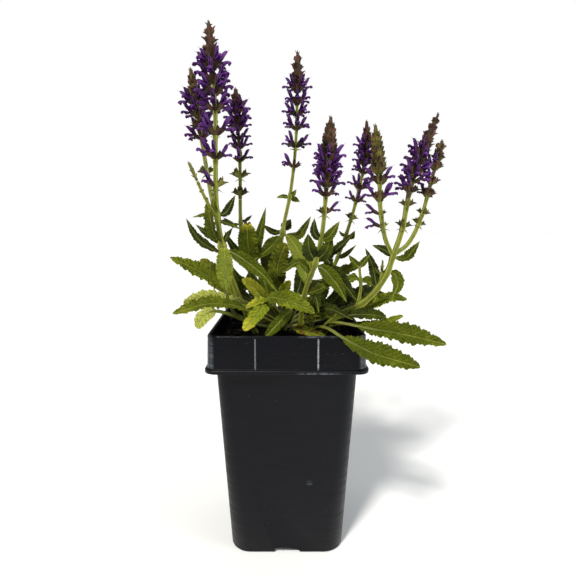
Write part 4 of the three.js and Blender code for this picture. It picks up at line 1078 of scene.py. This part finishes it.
def makeStemMaterial():
    material, net = newMaterial("stemSkin")
    solid = net.solid()
    edge, flush = net.split(net.read("place"))[1:]
    mottled = net.mottle(solid, stemColour["deep"], stemColour["green"], 90.0, 1.7)
    # the four soft edges are paler ridges, made brighter still as a painted highlight
    body = net.mix(net.times(net.remap(edge, 0.55, 1.0), 0.6), mottled["Color"], stemColour["ridge"])
    body = net.mix(flush, body, stemColour["flush"])
    streaked = net.node("ShaderNodeVectorMath", {0: solid, 1: (1.0, 1.0, 0.12)}, operation="MULTIPLY")
    lines = net.noise(streaked.outputs[0], 1500.0, 2.0)
    body = net.mix(net.times(net.remap(lines, 0.4, 0.65), 0.3), body, stemColour["deep"])
    downy = net.down(solid, body, 0.2)
    net.finish(downy["Color"], net.remap(mottled["Value"], 0.2, 0.8, (0.46, 0.6)),
               (net.plus(lines, downy["Height"]), 0.35, 0.0002),
               {"Specular IOR Level": 0.35, "Subsurface Weight": 0.08, "Subsurface Scale": 0.0012})
    return material


leafMaterials = [makeBladeMaterial("leafUpper", False), makeBladeMaterial("leafUnder", True),
                 makeStalkMaterial()]
stemMaterial = makeStemMaterial()


def spikeStart(stem):
    spike = stem["spike"]
    lowest = spike["whorls"][-1] if spike["whorls"] else spike["bud"]
    return stem["line"].length - lowest - 3 * spike["size"]


def growCrown(heap):
    # the woody crown that the basal leaves grow from
    rings = []
    turn = fullTurn(24)
    for z, radius in ((138, 3.9), (141, 4.9), (144, 5.4), (147, 5.2), (150, 4.6), (153, 3.4), (155, 2.4)):
        knobbly = radius * (1 + 0.1 * np.sin(turn * 5 + z) + 0.05 * np.sin(turn * 9 - z * 2))
        rings.append(np.column_stack([knobbly * np.cos(turn), knobbly * np.sin(turn), np.full(24, z)]))
    skin(heap, np.array(rings), 2, (0, 0, 0.5), (0.1, 0.2, 0.5))


def makeLeaves(node):
    heap = Heap()
    if node == "basal_rosette":
        growCrown(heap)
    index = -1
    for on, group in leaves.items():
        owner = "basal_rosette" if on == "crown" else stems[on]["node"]
        for leaf in group:
            index += 1
            if owner == node:
                growLeaf(heap, on, leaf, index)
    label = "basalLeaves" if node == "basal_rosette" else "leaves" + node[-1].upper()
    makePiece(label, heap, leafMaterials, [node], 60)


def makeStems(node):
    heap = Heap()
    for key, stem in stems.items():
        if stem["node"] == node:
            line = stem["line"]
            end = spikeStart(stem) / line.length if "spike" in stem else 1.0
            heights = sorted({leaf[0] for leaf in leaves.get(key, [])})
            growStem(heap, stem, 0.0, end, 0, [line.shareAtHeight(height) for height in heights])
    makePiece("stem" + node[-1].upper(), heap, [stemMaterial], [node], 60)


makeLeaves("basal_rosette")
for leafyNode in sorted({stem["node"] for stem in stems.values()}):
    makeLeaves(leafyNode)
    makeStems(leafyNode)
print("stems and leaves made")


flowerShape = {
    "mouth": (6.6, 1.45, 1.25),  # a calyx's reach, half height and half width at its mouth
    "closedMouth": (6.0, 1.6, 1.45), "spentMouth": (5.9, 1.75, 1.6),
    "hoodTip": (14.0, 1.9), "lipTip": (11.4, -4.6), "petalThickness": 0.26,
    "turns": (0, 56, 124, 180, 236, 304),  # degrees round a whorl
    "lean": {"spent": 0.9, "closed": 0.74, "calyx": 0.82}, "topSize": 0.94,
    "buds": 8, "budLean": (0.3, 0.62), "budLength": (6.2, 8.2),
    # a bract's length and lean: below the lowest whorls, spent or in flower, and below all others
    "bracts": {"spent": (4.4, 1.45), "lowest": (4.6, 1.2), "upper": (3.2, 0.9)},
}
flowerColour = {
    "petalDeep": rgb(36, 6, 48), "petal": rgb(88, 32, 112), "petalHighlight": rgb(118, 64, 152),
    "calyxDark": rgb(26, 9, 13), "calyx": rgb(70, 44, 40), "olive": rgb(92, 86, 36), "red": rgb(108, 50, 56),
    "bractGreen": rgb(98, 98, 40), "style": rgb(150, 136, 150),
}


def curvedSheet(heap, knots, halfWidths, bend, rows, columns, part, spread=1.0):
    # a petal along a bent line; bend gives how far its two sides turn down
    line = Line(smoothPoints([(x, 0, z) for x, z in knots]))
    share = np.linspace(0, 1, rows)
    centre, along = line.at(share), line.along(share)
    normal = np.stack([-along[:, 2], along[:, 1] * 0, along[:, 0]], -1)[:, None]
    half = np.interp(share, np.linspace(0, 1, len(halfWidths)), halfWidths)[:, None]
    turned = np.interp(share, np.linspace(0, 1, len(bend)), bend)[:, None]
    q = np.linspace(-1, 1, columns)[None]
    angle = turned * q
    radius = half / turned
    sideways = radius * np.sin(angle) * spread
    down = -radius * (1 - np.cos(angle))
    points = centre[:, None] + normal * down[..., None] + np.array([0, 1.0, 0]) * sideways[..., None]
    inward = np.cos(angle)[..., None] * normal + np.sin(angle)[..., None] * np.array([0, 1.0, 0])
    inward = inward * flowerShape["petalThickness"] / 2
    sheet(heap, points + inward, points - inward, 0, packed(share[:, None], q, float(part)))


def thread(heap, knots, radii, look, part, sides, rows):
    line = Line(smoothPoints(knots))
    share = np.linspace(0, 1, rows)
    u, v = line.axes(share)[1:]
    turn = fullTurn(sides)[:, None]
    radius = np.interp(share, np.linspace(0, 1, len(radii)), radii)[:, None, None]
    rings = line.at(share)[:, None] + radius * (u[:, None] * np.cos(turn) + v[:, None] * np.sin(turn))
    place = packed(share[:, None], 0.0, float(part))
    skin(heap, rings, look, np.broadcast_to(place, (rows, 1, 3)).repeat(sides, 1))


def calyxTemplate(mouth, flare, seed):
    # a ribbed two-lipped cup with three short teeth above and two long ones below
    heap = Heap()
    chance = np.random.RandomState(seed)
    reach, high, wide = mouth
    sides = 14
    turn = fullTurn(sides)  # 0 is up
    degrees = np.degrees(np.minimum(turn, 2 * math.pi - turn))
    tooth = np.interp(degrees, [0, 18, 34, 52, 88, 125, 150, 180],
                      [0.9, 0.2, 0.75, 0.0, -1.3, 0.1, 1.6, -0.4])
    tooth = (tooth * chance.uniform(0.85, 1.2) + flare * 0.4)[:, None]
    rings, places = [], []
    for x, share in ((0.1, 0.26), (1.0, 0.42), (2.4, 0.66), (4.2, 0.87), (5.6, 0.96), (reach, 1.0)):
        ribs = 1 + 0.06 * np.cos(turn * 7) * min(1, x / 2)
        rings.append(np.column_stack([np.full(sides, x), share * wide * np.sin(turn) * ribs,
                                      share * high * np.cos(turn) * ribs]))
        places.append(np.column_stack([np.full(sides, x / reach), turn / 6.3, np.zeros(sides)]))
    last = rings[-1]
    out = unit(np.column_stack([np.full(sides, 2.2), last[:, 1] * (0.3 + flare), last[:, 2] * (0.3 + flare)]))
    rings[-1] = last - out * 0.9
    rings += [last + out * tooth * 0.45, last + out * tooth]
    places += [places[-1] + [0.1, 0, 0], places[-1] + [0.22, 0, 0]]
    for ring, scale in ((rings[-1], 0.9), (rings[-3], 0.78)):
        rings.append(ring * [1, scale, scale])
        places.append(places[-1] * [0.9, 1, 1])
    skin(heap, np.array(rings), 0, np.array(places))
    return templateOf(heap)


def petalTemplate(seed):
    # a two-lipped flower: an arched hood above, and a hooked three-lobed lip below
    heap = Heap()
    chance = np.random.RandomState(seed)
    tipX, tipZ = np.array(flowerShape["hoodTip"]) + chance.uniform(-0.6, 0.5, 2)
    lipX, lipZ = np.array(flowerShape["lipTip"]) + chance.uniform(-0.5, 0.4, 2)
    turn = fullTurn(8)
    rings, places = [], []
    for x, radius, share in ((4.6, 0.8, 0), (6.2, 1.2, 0.08), (7.6, 1.4, 0.18)):
        rings.append(np.column_stack([np.full(8, x), radius * 0.92 * np.sin(turn), radius * np.cos(turn)]))
        places.append(np.column_stack([np.full(8, share), np.sin(turn), np.zeros(8)]))
    skin(heap, np.array(rings), 0, np.array(places))
    rise = 1.0 + chance.uniform(-0.3, 0.5)
    hood = [(6.5, 0.95), (8.2, 1.4 + rise * 0.5), (10.4, 1.6 + rise), (12.5, max(tipZ, 1.0) + 0.7 * rise),
            (tipX - 0.4, tipZ + 0.2), (tipX, tipZ - 0.7)]
    widths, bends = [1.8, 2.6, 2.9, 2.7, 2.4, 1.0], [2.0, 2.2, 2.3, 2.3, 2.3, 1.8]
    curvedSheet(heap, hood, widths, bends, 9, 9, 1, 0.85)
    hook = 0.5 + chance.uniform(-0.3, 0.4)
    lip = [(6.6, -0.85), (8.3, -1.5), (10.1, -2.7), (lipX - 0.3, lipZ + 1.1), (lipX, lipZ),
           (lipX - 0.5 * hook, lipZ - 0.9 * hook), (lipX - 1.5 * hook, lipZ - 1.3 * hook)]
    widths = [1.4, 1.8, 2.6, 2.4, 1.6, 1.8, 2.7, 3.0, 2.6, 1.3]
    bends = [1.6, 1.4, 1.5, 1.5, 1.4, 1.5, 1.7, 1.8, 1.8, 1.6]
    curvedSheet(heap, lip, widths, bends, 12, 7, 2)
    # the forked style, and a stamen under the hood
    tip = chance.uniform(-0.4, 0.4)
    thread(heap, [(10.5, 0, 1.8), (tipX - 0.4, tip * 0.3, tipZ - 0.3), (tipX + 0.8, tip * 0.7, tipZ - 0.8),
                  (tipX + 1.6, tip, tipZ - 0.9 + tip)], [0.13, 0.13, 0.12, 0.09], 0, 3, 3, 5)
    thread(heap, [(9.0, 0.1, 0.3), (tipX - 2.2, 0.2, tipZ - 0.9), (tipX - 1.2, 0.2, tipZ - 1.1)],
           [0.1, 0.12, 0.3, 0.26], 0, 4, 4, 4)
    return templateOf(heap)


def bractTemplate(half, droop, cup, rows=6, power=0.62):
    # a small pointed leaf one unit long, lying on x and bending down by droop
    heap = Heap()
    share = np.linspace(0, 1, rows)[:, None]
    q = np.linspace(-1, 1, 5)[None]
    width = half * np.maximum(np.sin(math.pi * np.clip(share, 0.03, 1) ** power) ** 0.9, 0.05)
    x = share * np.cos(droop * share * 0.6) + 0 * q
    z = -np.sin(droop * share * 0.7) * share + cup * width * q**2
    top = np.stack([x, width * q, z], -1)
    thickness = 0.05 * (1 - 0.5 * q**2) + 0.03 * (1 - share) * np.exp(-((q / 0.3) ** 2))
    bottom = top - np.stack([0 * x, 0 * x, thickness], -1)
    sheet(heap, top, bottom, 0, packed(share, q, 0.5))
    return templateOf(heap)


def budTemplate(seed):
    # an unopened calyx, one unit long: a ribbed drop that ends in three or four points
    heap = Heap()
    turn = fullTurn(8)
    rings, places = [], []
    for x, radius in ((0.0, 0.1), (0.25, 0.2), (0.55, 0.26), (0.76, 0.22), (0.9, 0.15), (0.86, 0.05)):
        jag = 0.15 * np.cos(turn * 4 + seed) * (x > 0.7) * (1 if radius > 0.1 else 0.3)
        ribbed = radius * (1 + 0.1 * np.cos(turn * 4))
        rings.append(np.column_stack([x + jag, ribbed * np.sin(turn), ribbed * np.cos(turn)]))
        places.append(np.column_stack([np.full(8, min(1, x)), np.sin(turn), np.full(8, 0.5)]))
    skin(heap, np.array(rings), 0, np.array(places))
    return templateOf(heap)


templates = {
    "calyx": [calyxTemplate(flowerShape["mouth"], 0.0, seed) for seed in range(3)],
    "closed": [calyxTemplate(flowerShape["closedMouth"], -0.2, seed + 9) for seed in range(3)],
    "spent": [calyxTemplate(flowerShape["spentMouth"], 0.4, seed + 5) for seed in range(3)],
    "petals": [petalTemplate(seed + 20) for seed in range(6)],
    "bract": [bractTemplate(0.2, droop, 0.35) for droop in (0.3, 0.8)],
    "coneBract": [bractTemplate(half, droop, 0.8, 7, 0.5) for half, droop in ((0.25, 0.0), (0.24, 0.1))],
    "tipBract": [bractTemplate(0.15, droop, 0.8, 7, 0.5) for droop in (-0.1, 0.1)],
    "bud": [budTemplate(seed) for seed in (0.0, 0.8)],
}
# The bud cones whose tiers stand apart, and those whose tiers lie close.
coneShape = {
    "open": {"bract": 1, "angle": 0.78, "longest": 6.6, "budReach": 1.5, "longestBud": 5.5, "plump": 1.0,
             "tipAngle": 0.12},
    "tight": {"bract": 0, "angle": 0.56, "longest": 5.0, "budReach": 1.35, "longestBud": 4.8, "plump": 1.25,
              "tipAngle": 0.06},
    "tierSpacing": 3.4, "tightCore": 0.6, "tightBuds": 0.74, "budsPastCore": 0.08,
    "azimuths": (2.09, 1.05), "tierShading": (0.65, 1.35),  # of every other tier; the second pair makes alternate tiers darker and lighter, as painted shade and light
    "budOffsets": (-0.8, -0.27, 0.27, 0.8), "budLean": 0.42, "leastReach": 2.5,
}


def outward(axes, turn, angle, plump=1.0):
    # the direction away from a stem, and the axes of something that leans from it by an angle
    along, u, v = axes
    radial = u * math.cos(turn) + v * math.sin(turn)
    out = radial * math.sin(angle) + along * math.cos(angle)
    upward = along * math.sin(angle) - radial * math.cos(angle)
    return radial, (out, plump * np.cross(upward, out), plump * upward)


def growCone(heap, stem, chance):
    # the bud cone: crossed pairs of pointed bracts, each over a few unopened calyces, round a slender core
    spike, line = stem["spike"], stem["line"]
    wide = spike["open"]
    cone = coneShape["open" if wide else "tight"]
    downs, halves = zip(*spike["profile"])
    beyond = spike["tip"] - usualSpike["tip"]  # how far the last bracts stand past the end of the stem
    coreShare = spike["fill"] if wide else coneShape["tightCore"]
    budShare = spike["fill"] + coneShape["budsPastCore"] if wide else coneShape["tightBuds"]

    def placeAt(distance):
        share = min(1, 1 - (distance - beyond) / line.length)
        return line.at(share), line.axes(min(share, nearTip))

    core = []
    turn = fullTurn(12)[:, None]
    for distance in np.linspace(spike["bud"] + 1.5, 1.6, 9):
        centre, axes = placeAt(distance)
        u, v = axes[1:]
        reach = coreShare * np.interp(distance, downs, halves)
        core.append(centre + reach * (u * np.cos(turn) + v * np.sin(turn)))
    skin(heap, np.array(core), 0, (0.3, 0, 0.5), (0.5 * spike["olive"], 0.1, 0.5))
    tiers = spike["tiers"] or np.arange(1.8, spike["bud"] + 1, coneShape["tierSpacing"])
    for tier, tip in enumerate(tiers):
        height = max(0, 1 - tip / spike["bud"])  # 0 at the foot of the cone, 1 at its tip
        reach = np.interp(tip, downs, halves) / 0.87
        red = spike["red"] * (0.35 + 0.65 * height)
        # alternate tiers less and more olive, which paints shade and light on the cone's rows
        olive = spike["olive"] * (0.5 + 0.8 * height) * coneShape["tierShading"][tier % 2]
        for pair in range(2):
            azimuth = coneShape["azimuths"][tier % 2] + pair * math.pi + chance.uniform(-0.12, 0.12)
            angle = cone["angle"] + chance.uniform(-0.08, 0.08)
            length = min(reach / math.sin(angle), cone["longest"])
            centre, axes = placeAt(tip + length * math.cos(angle))
            radial, leaning = outward(axes, azimuth, angle)
            tint = (olive * chance.uniform(0.4, 1.1), -0.8 if spike["leafy"] else red, chance.uniform())
            inner = reach - length * math.sin(angle)
            stamp(heap, templates["coneBract"][cone["bract"]], centre + radial * inner, leaning, length, tint)
            for offset in coneShape["budOffsets"] if reach > coneShape["leastReach"] else ():
                angle = coneShape["budLean"] + chance.uniform(-0.1, 0.1)
                turned = azimuth + offset + chance.uniform(-0.1, 0.1)
                radial, leaning = outward(axes, turned, angle, cone["plump"])
                tint = (olive * chance.uniform(0.5, 1.4), red * chance.uniform(0.3, 1.0), chance.uniform())
                size = min(cone["budReach"] * reach, cone["longestBud"]) * chance.uniform(0.8, 1.05)
                inner = max(0.1, budShare * reach - size * math.sin(angle))
                bud = templates["bud"][int(chance.randint(2))]
                stamp(heap, bud, centre + radial * inner, leaning, size, tint)
    centre, axes = placeAt(spike["tip"])
    for i in range(5):
        leaning = outward(axes, 0.5 + i * 1.3, cone["tipAngle"] + 0.1 * (i % 2))[1]
        stamp(heap, templates["tipBract"][i % 2], centre, leaning, spike["tip"] - 0.4 * i,
              (0.3 * spike["olive"], spike["red"], 0.5))


def growWhorl(stem, k, petals, greens, draw, chance):
    # one ring of flowers: its cups with or without petals, its unopened buds and its two bracts
    spike, line = stem["spike"], stem["line"]
    whorls, size0 = spike["whorls"], spike["size"]
    turn = (k % 2) * math.pi / 2
    share = 1 - whorls[k] / line.length
    centre, axes = line.at(share), line.axes(min(share, nearTip))
    spent, closed = k >= len(whorls) - spike["spent"], k < spike["closed"]
    state = "spent" if spent else "closed" if closed else "calyx"
    # the lowest open whorls have dropped some of their petals
    order = len(whorls) - 1 - spike["spent"] - k
    dropped = spike["dropped"][order] if 0 <= order < len(spike["dropped"]) else 0
    bloom = spike["bloom"].get(k, ())
    for i, degrees in enumerate(flowerShape["turns"]):
        azimuth = turn + math.radians(degrees) + (next(draw) - 0.5) * 0.16
        lean = flowerShape["lean"][state] + (next(draw) - 0.5) * 0.14
        size = size0 * (0.9 + 0.14 * next(draw)) * (flowerShape["topSize"] if k == 0 else 1)
        withered = spent and i not in bloom
        if withered and i % 3 == 2:
            continue
        leaning = outward(axes, azimuth, lean)[1]
        olive = chance.uniform(0.0, 0.55)
        if withered:
            leafy = i % 2 or spike["leafy"]
            stamp(greens, templates["spent"][int(chance.randint(3))], centre, leaning, spike["husk"] * size,
                  (1.4 + 2.5 * olive, -0.8 if leafy else 0.0, chance.uniform()))
            continue
        if closed:
            olive = olive + 0.5 * spike["olive"]
        cup = templates["closed" if closed else "calyx"][int(chance.randint(3))]
        stamp(greens, cup, centre, leaning, size, (olive, 0.0, chance.uniform()))
        if closed or (i not in bloom if bloom else chance.uniform() < dropped):
            continue
        stamp(petals, templates["petals"][int(chance.randint(6))], centre, leaning, size,
              (chance.uniform(), chance.uniform(), chance.uniform()))
    if k <= spike.get("budded", spike["closed"] + 2):  # unopened buds fill the middle of the highest whorls
        for i in range(flowerShape["buds"]):
            azimuth = turn + i * 0.79 + chance.uniform(-0.2, 0.2)
            leaning = outward(axes, azimuth, chance.uniform(*flowerShape["budLean"]))[1]
            stamp(greens, templates["bud"][i % 2], line.at(share - 0.8 / line.length), leaning,
                  size0 * chance.uniform(*flowerShape["budLength"]),
                  (spike["olive"] * chance.uniform(0.4, 1.2), 0.3 * spike["red"], chance.uniform()))
    lowest = k >= len(whorls) - 2
    length, lean = flowerShape["bracts"][("spent" if spent else "lowest") if lowest else "upper"]
    tint = (1.0, -1.0 if lowest else 0.0, 0.5)
    for pair in (0, math.pi) if k > 0 else ():
        foot = line.at(1 - (whorls[k] + 1.2 * size0) / line.length)
        leaning = outward(axes, turn + pair, lean)[1]
        stamp(greens, templates["bract"][int(spent)], foot, leaning, length * size0, tint)


def growSpike(name, stem):
    spike, line = stem["spike"], stem["line"]
    petals, greens = Heap(), Heap()
    draw, chance = draws(spike["seed"]), np.random.RandomState(spike["seed"])
    whorls = spike["whorls"]
    start = (spikeStart(stem) + 0.3) / line.length
    joints = [1 - distance / line.length for distance in whorls]
    end = 1 - (spike["bud"] * 0.5) / line.length
    growStem(greens, stem, start, end, 1, joints, start + spike["green"] * (1 - start))
    for k in reversed(range(len(whorls))):
        growWhorl(stem, k, petals, greens, draw, chance)
    growCone(greens, stem, chance)
    # tiny paired buds down the stalk
    for distance in spike.get("stalkBuds", ()):
        share = 1 - distance / line.length
        for pair in (0, math.pi):
            leaning = outward(line.axes(share), pair + distance, 0.7)[1]
            stamp(greens, templates["bud"][0], line.at(share), leaning, 2.3, (0.7, 0.4, 0.5))
    node = "flower_spike_" + name
    looks = [calyxMaterial if whorls else budMaterial, rachisMaterial]
    makePiece("calyces" + name.upper(), greens, looks, [node], 50)
    if petals.points:
        makePiece("petals" + name.upper(), petals, [petalMaterial], [node], 70)


def makePetalMaterial():
    material, net = newMaterial("petalVelvet")
    place = net.read("place")
    share, across, part = net.split(place)
    litAmount = net.split(net.read("tint"))[0]
    mottled = net.mottle(net.solid(), flowerColour["petalDeep"], flowerColour["petal"], 420.0, 2.2)
    # the edges and tips of each flower's petals are lighter: a painted highlight, stronger on some flowers
    # than on others
    edge = net.remap(net.positive(across), 0.45, 1.0)
    outer = net.remap(net.timesPlus(edge, 0.4, share), 0.2, 1.2)
    body = net.mix(net.times(outer, net.timesPlus(litAmount, 0.75, 0.1)), mottled["Color"],
                   flowerColour["petalHighlight"])
    body = net.mix(net.remap(share, 0.35, 0.0, (0.0, 0.6)), body, flowerColour["petalDeep"])
    lined = net.node("ShaderNodeTexWave", {"Vector": place, "Scale": 2.2, "Distortion": 1.5, "Detail": 1.0},
                     bands_direction="Y").outputs["Fac"]
    body = net.mix(net.times(lined, 0.2), body, flowerColour["petalDeep"])
    body = net.mix(net.times(net.math("GREATER_THAN", part, 2.5), 0.3), body, flowerColour["style"])
    net.finish(body, net.remap(mottled["Value"], 0.2, 0.8, (0.42, 0.58)),
               (net.plus(lined, mottled["Value"]), 0.3, 0.00015),
               {"Specular IOR Level": 0.16, "Sheen Weight": 0.05, "Sheen Roughness": 0.4,
                "Sheen Tint": (0.72, 0.5, 1.0, 1.0)})
    return material


def makeCalyxMaterial(name, green):
    # dark maroon cups, olive at the foot and between the ribs; bracts redden towards the tip of the spike
    material, net = newMaterial(name)
    place, solid = net.read("place"), net.solid()
    share = net.split(place)[0]
    olive, red, chance = net.split(net.read("tint"))
    ribs = net.node("ShaderNodeTexWave", {"Vector": place, "Scale": 2.2, "Distortion": 0.6},
                    bands_direction="Y").outputs["Fac"]
    dark, light = ("olive", "bractGreen") if green else ("calyxDark", "calyx")
    mottled = net.mottle(solid, flowerColour[dark], flowerColour[light], 260.0, 1.8)
    foot = net.remap(share, 0.8, 0.1, (0.25, 1.0))
    greenish = net.math("MULTIPLY", net.times(foot, olive), net.timesPlus(ribs, 0.6, 0.5), clamp=True)
    body = net.mix(greenish, mottled["Color"], flowerColour["olive"])
    tip = net.math("MULTIPLY", net.remap(share, 0.2, 0.9), net.times(red, 0.8), clamp=True)
    body = net.mix(net.times(tip, 0.3) if green else tip, body, flowerColour["red"])
    leafy = net.math("LESS_THAN", red, -0.5)  # a red below zero marks what is leafy
    body = net.mix(net.times(leafy, 0.7), body, flowerColour["bractGreen"])
    # each cup and bract a little lighter or darker than the next
    body = net.mix(1.0, body, net.remap(chance, 0.0, 1.0, (0.4, 1.8)), "MULTIPLY")
    downy = net.down(solid, body, 0.08)
    net.finish(downy["Color"], net.remap(mottled["Value"], 0.2, 0.8, (0.5, 0.66)),
               (net.plus(net.times(ribs, 0.6), downy["Height"]), 0.5, 0.0002), {"Specular IOR Level": 0.16})
    return material


petalMaterial = makePetalMaterial()
calyxMaterial = makeCalyxMaterial("calyxSkin", False)
budMaterial = makeCalyxMaterial("greenBud", True)
# the stem between the whorls: green below, flushed olive-brown towards the tip
rachisMaterial = stemMaterial.copy()
rachisMaterial.name = "rachisSkin"

for key, stem in stems.items():
    if "spike" in stem:
        growSpike(key, stem)
print("flower spikes made")


soilShape = {
    "top": 145, "mound": 3, "gap": 0.35, "rings": 46, "turns": 160, "chips": 620, "fibres": 70, "seed": 7,
    "moundRadius": 46, "highest": 149.5, "longestChip": 2.4,
}
# The mix's colours are darker than the mix itself, as painted shade for the shadow that the rim and the
# leaves cast on it.
soilColour = {
    "peat": rgb(2, 1, 2), "damp": rgb(10, 7, 6), "bark": rgb(22, 15, 11), "fibre": rgb(84, 42, 26),
}


def soilHeight(x, y):
    away = np.minimum(1, np.hypot(x, y) / soilShape["moundRadius"])
    lumps = np.sin(x * 0.31 + 1) * np.cos(y * 0.27) + 0.6 * np.sin(y * 0.53 + x * 0.17)
    return soilShape["top"] + soilShape["mound"] * (1 - away * away) + lumps * 0.7


def makeSoilMaterial(name, dark, light, scale):
    material, net = newMaterial(name)
    solid = net.solid()
    mottled = net.mottle(solid, soilColour[dark], soilColour[light], scale, 2.4)
    net.finish(mottled["Color"], net.remap(mottled["Value"], 0.2, 0.8, (0.95, 0.7)),
               (net.noise(solid, 1400.0, 4.0, 0.7), 0.8, 0.0005), {"Specular IOR Level": 0.1})
    return material


def growSurface(heap, half):
    # the filling's sides, and its lumpy top in rings towards the middle
    steps = soilShape["turns"] // 4 - 1
    inset = potShape["wall"] + soilShape["gap"]
    ledge = squareRing(bandBottom + 2, half, potShape["bandCorner"] - 2, steps)
    rings = [squareRing(5.5, half - 14, 8, steps), squareRing(40, half - 9, 8, steps),
             squareRing(bandBottom, potShape["shoulderWidth"] / 2 - inset, 6.5, steps), ledge]
    for share in np.linspace(1, 0.01, soilShape["rings"]):
        x, y = ledge[:, 0] * share, ledge[:, 1] * share
        z = soilHeight(x, y) - 0.9 * smoothRange(np.full(len(x), share), 0.82, 1.0)
        crumbs = 0.55 * ripple(x, y, 3, 7.0) + 0.4 * ripple(x, y, 4, 3.1) + 0.3 * ripple(x, y, 5, 1.6)
        z = z + crumbs * (0.35 if share == 1 else 1)
        rings.append(np.column_stack([x, y, np.minimum(z, soilShape["highest"])]))
    skin(heap, np.array(rings), 0)


def addChip(heap, half, chance):
    x, y = chance.uniform(-half + 2.5, half - 2.5, 2)
    size = 0.5 + 1.7 * chance.uniform() ** 3
    turn, tilt = chance.uniform(0, 2 * math.pi), chance.uniform(-0.5, 0.5)
    long, broad = size * chance.uniform(1.0, 2.0), size * chance.uniform(0.5, 0.9)
    long = min(long, soilShape["longestChip"])
    corners = np.linspace(0, 2 * math.pi, 7)[:-1]
    outline = np.array([(math.cos(corner) * long, math.sin(corner) * broad) for corner in corners])
    outline = outline * chance.uniform(0.75, 1.2, (len(corners), 1))
    u = np.array([math.cos(turn) * math.cos(tilt), math.sin(turn) * math.cos(tilt), math.sin(tilt)])
    v = np.array([-math.sin(turn), math.cos(turn), 0.0])
    centre = np.array([x, y, float(soilHeight(x, y)) + 0.25 * size])
    thick = size * 0.32
    rings = [centre + (outline * scale) @ np.array([u, v]) + np.cross(u, v) * lift
             for scale, lift in ((0.7, -thick), (1, -thick * 0.3), (1, thick * 0.4), (0.65, thick))]
    skin(heap, np.array(rings), 1)


def addFibre(heap, half, chance):
    x, y = chance.uniform(-half + 5, half - 5, 2)
    turn, length = chance.uniform(0, 2 * math.pi), chance.uniform(3, 7)
    knots = []
    for step in np.linspace(-0.5, 0.5, 4):
        px = x + math.cos(turn) * length * step + chance.uniform(-0.5, 0.5)
        py = y + math.sin(turn) * length * step + chance.uniform(-0.5, 0.5)
        knots.append((px, py, float(soilHeight(px, py)) + chance.uniform(0.2, 1.1)))
    thread(heap, knots, [0.1, 0.2, 0.16, 0.08], 2, 0, 4, 8)


def makeSoil():
    half = potShape["bandWidth"] / 2 - 2.4 - soilShape["gap"]
    chance = np.random.RandomState(soilShape["seed"])
    heap = Heap()
    growSurface(heap, half)
    for _ in range(soilShape["chips"]):
        addChip(heap, half, chance)
    for _ in range(soilShape["fibres"]):
        addFibre(heap, half, chance)
    materials = [makeSoilMaterial("moistPeat", "peat", "damp", 320.0),
                 makeSoilMaterial("barkChip", "damp", "bark", 260.0),
                 makeSoilMaterial("coirFibre", "bark", "fibre", 500.0)]
    makePiece("pottingMix", heap, materials, ["potting_mix"], 50)


makeSoil()
print("potting mix made")


studio = {
    "floor": rgb(246, 246, 245), "world": (1.0, 1.0, 1.0), "worldStrength": 0.22, "beyond": 1.0,
    # name, direction it comes from (degrees round from the front towards the right, and up), width, power
    # and colour
    "suns": [("keySun", -28, 52, 10, 3.2, (1.0, 0.985, 0.93)),
             ("skySun", 150, 66, 60, 0.6, (0.95, 0.98, 1.0))],
    # name, place, point it faces, width, power, colour
    "panels": [("panelLight", (0.75, -0.42, 0.3), (0.03, 0.0, 0.1), 0.5, 3.2, (0.86, 0.93, 1.0)),
               ("rightEdge", (0.914, -0.3, 0.2), (0.05, -0.05, 0.14), 0.16, 1.0, (0.92, 0.96, 1.0)),
               ("leftEdge", (-0.9, 0.28, 0.18), (-0.05, -0.05, 0.14), 0.3, 0.28, (1.0, 1.0, 0.94))],
}


def addLamp(name, kind, power, colour, rotation):
    data = bpy.data.lights.new(name, kind)
    data.energy = power
    data.color = colour
    lamp = addObject(name, data)
    lamp.rotation_euler = rotation
    return lamp


def makeStudio():
    scene = bpy.context.scene
    scene.view_settings.view_transform = "Standard"
    mesh = bpy.data.meshes.new("studioFloor")
    mesh.from_pydata([(-9, -9, 0), (9, -9, 0), (9, 9, 0), (-9, 9, 0)], [], [(0, 1, 2, 3)])
    floor = addObject("studioFloor", mesh)
    material, net = newMaterial("paleFloor")
    net.feed(net.tree.nodes["Principled BSDF"],
             {"Base Color": studio["floor"], "Roughness": 0.9, "Specular IOR Level": 0.1})
    mesh.materials.append(material)
    world = bpy.data.worlds.new("studioWorld")
    world.use_nodes = True
    net = Net(world.node_tree)
    seen = net.node("ShaderNodeLightPath", {}).outputs["Is Camera Ray"]
    dim = studio["worldStrength"]
    net.feed(net.tree.nodes["Background"], {"Color": (*studio["world"], 1),
                                            "Strength": net.timesPlus(seen, studio["beyond"] - dim, dim)})
    scene.world = world
    for name, around, height, width, power, colour in studio["suns"]:
        rotation = (math.radians(90 - height), 0, math.radians(around))
        addLamp(name, "SUN", power, colour, rotation).data.angle = math.radians(width)
    for name, place, target, width, power, colour in studio["panels"]:
        aim = np.array(target) - np.array(place)
        pitch = math.acos(-aim[2] / np.linalg.norm(aim))
        lamp = addLamp(name, "AREA", power, colour, (pitch, 0, math.atan2(aim[1], aim[0]) - math.pi / 2))
        lamp.location = place
        lamp.data.shape = "DISK"
        lamp.data.size = width


makeStudio()
print("studio set")
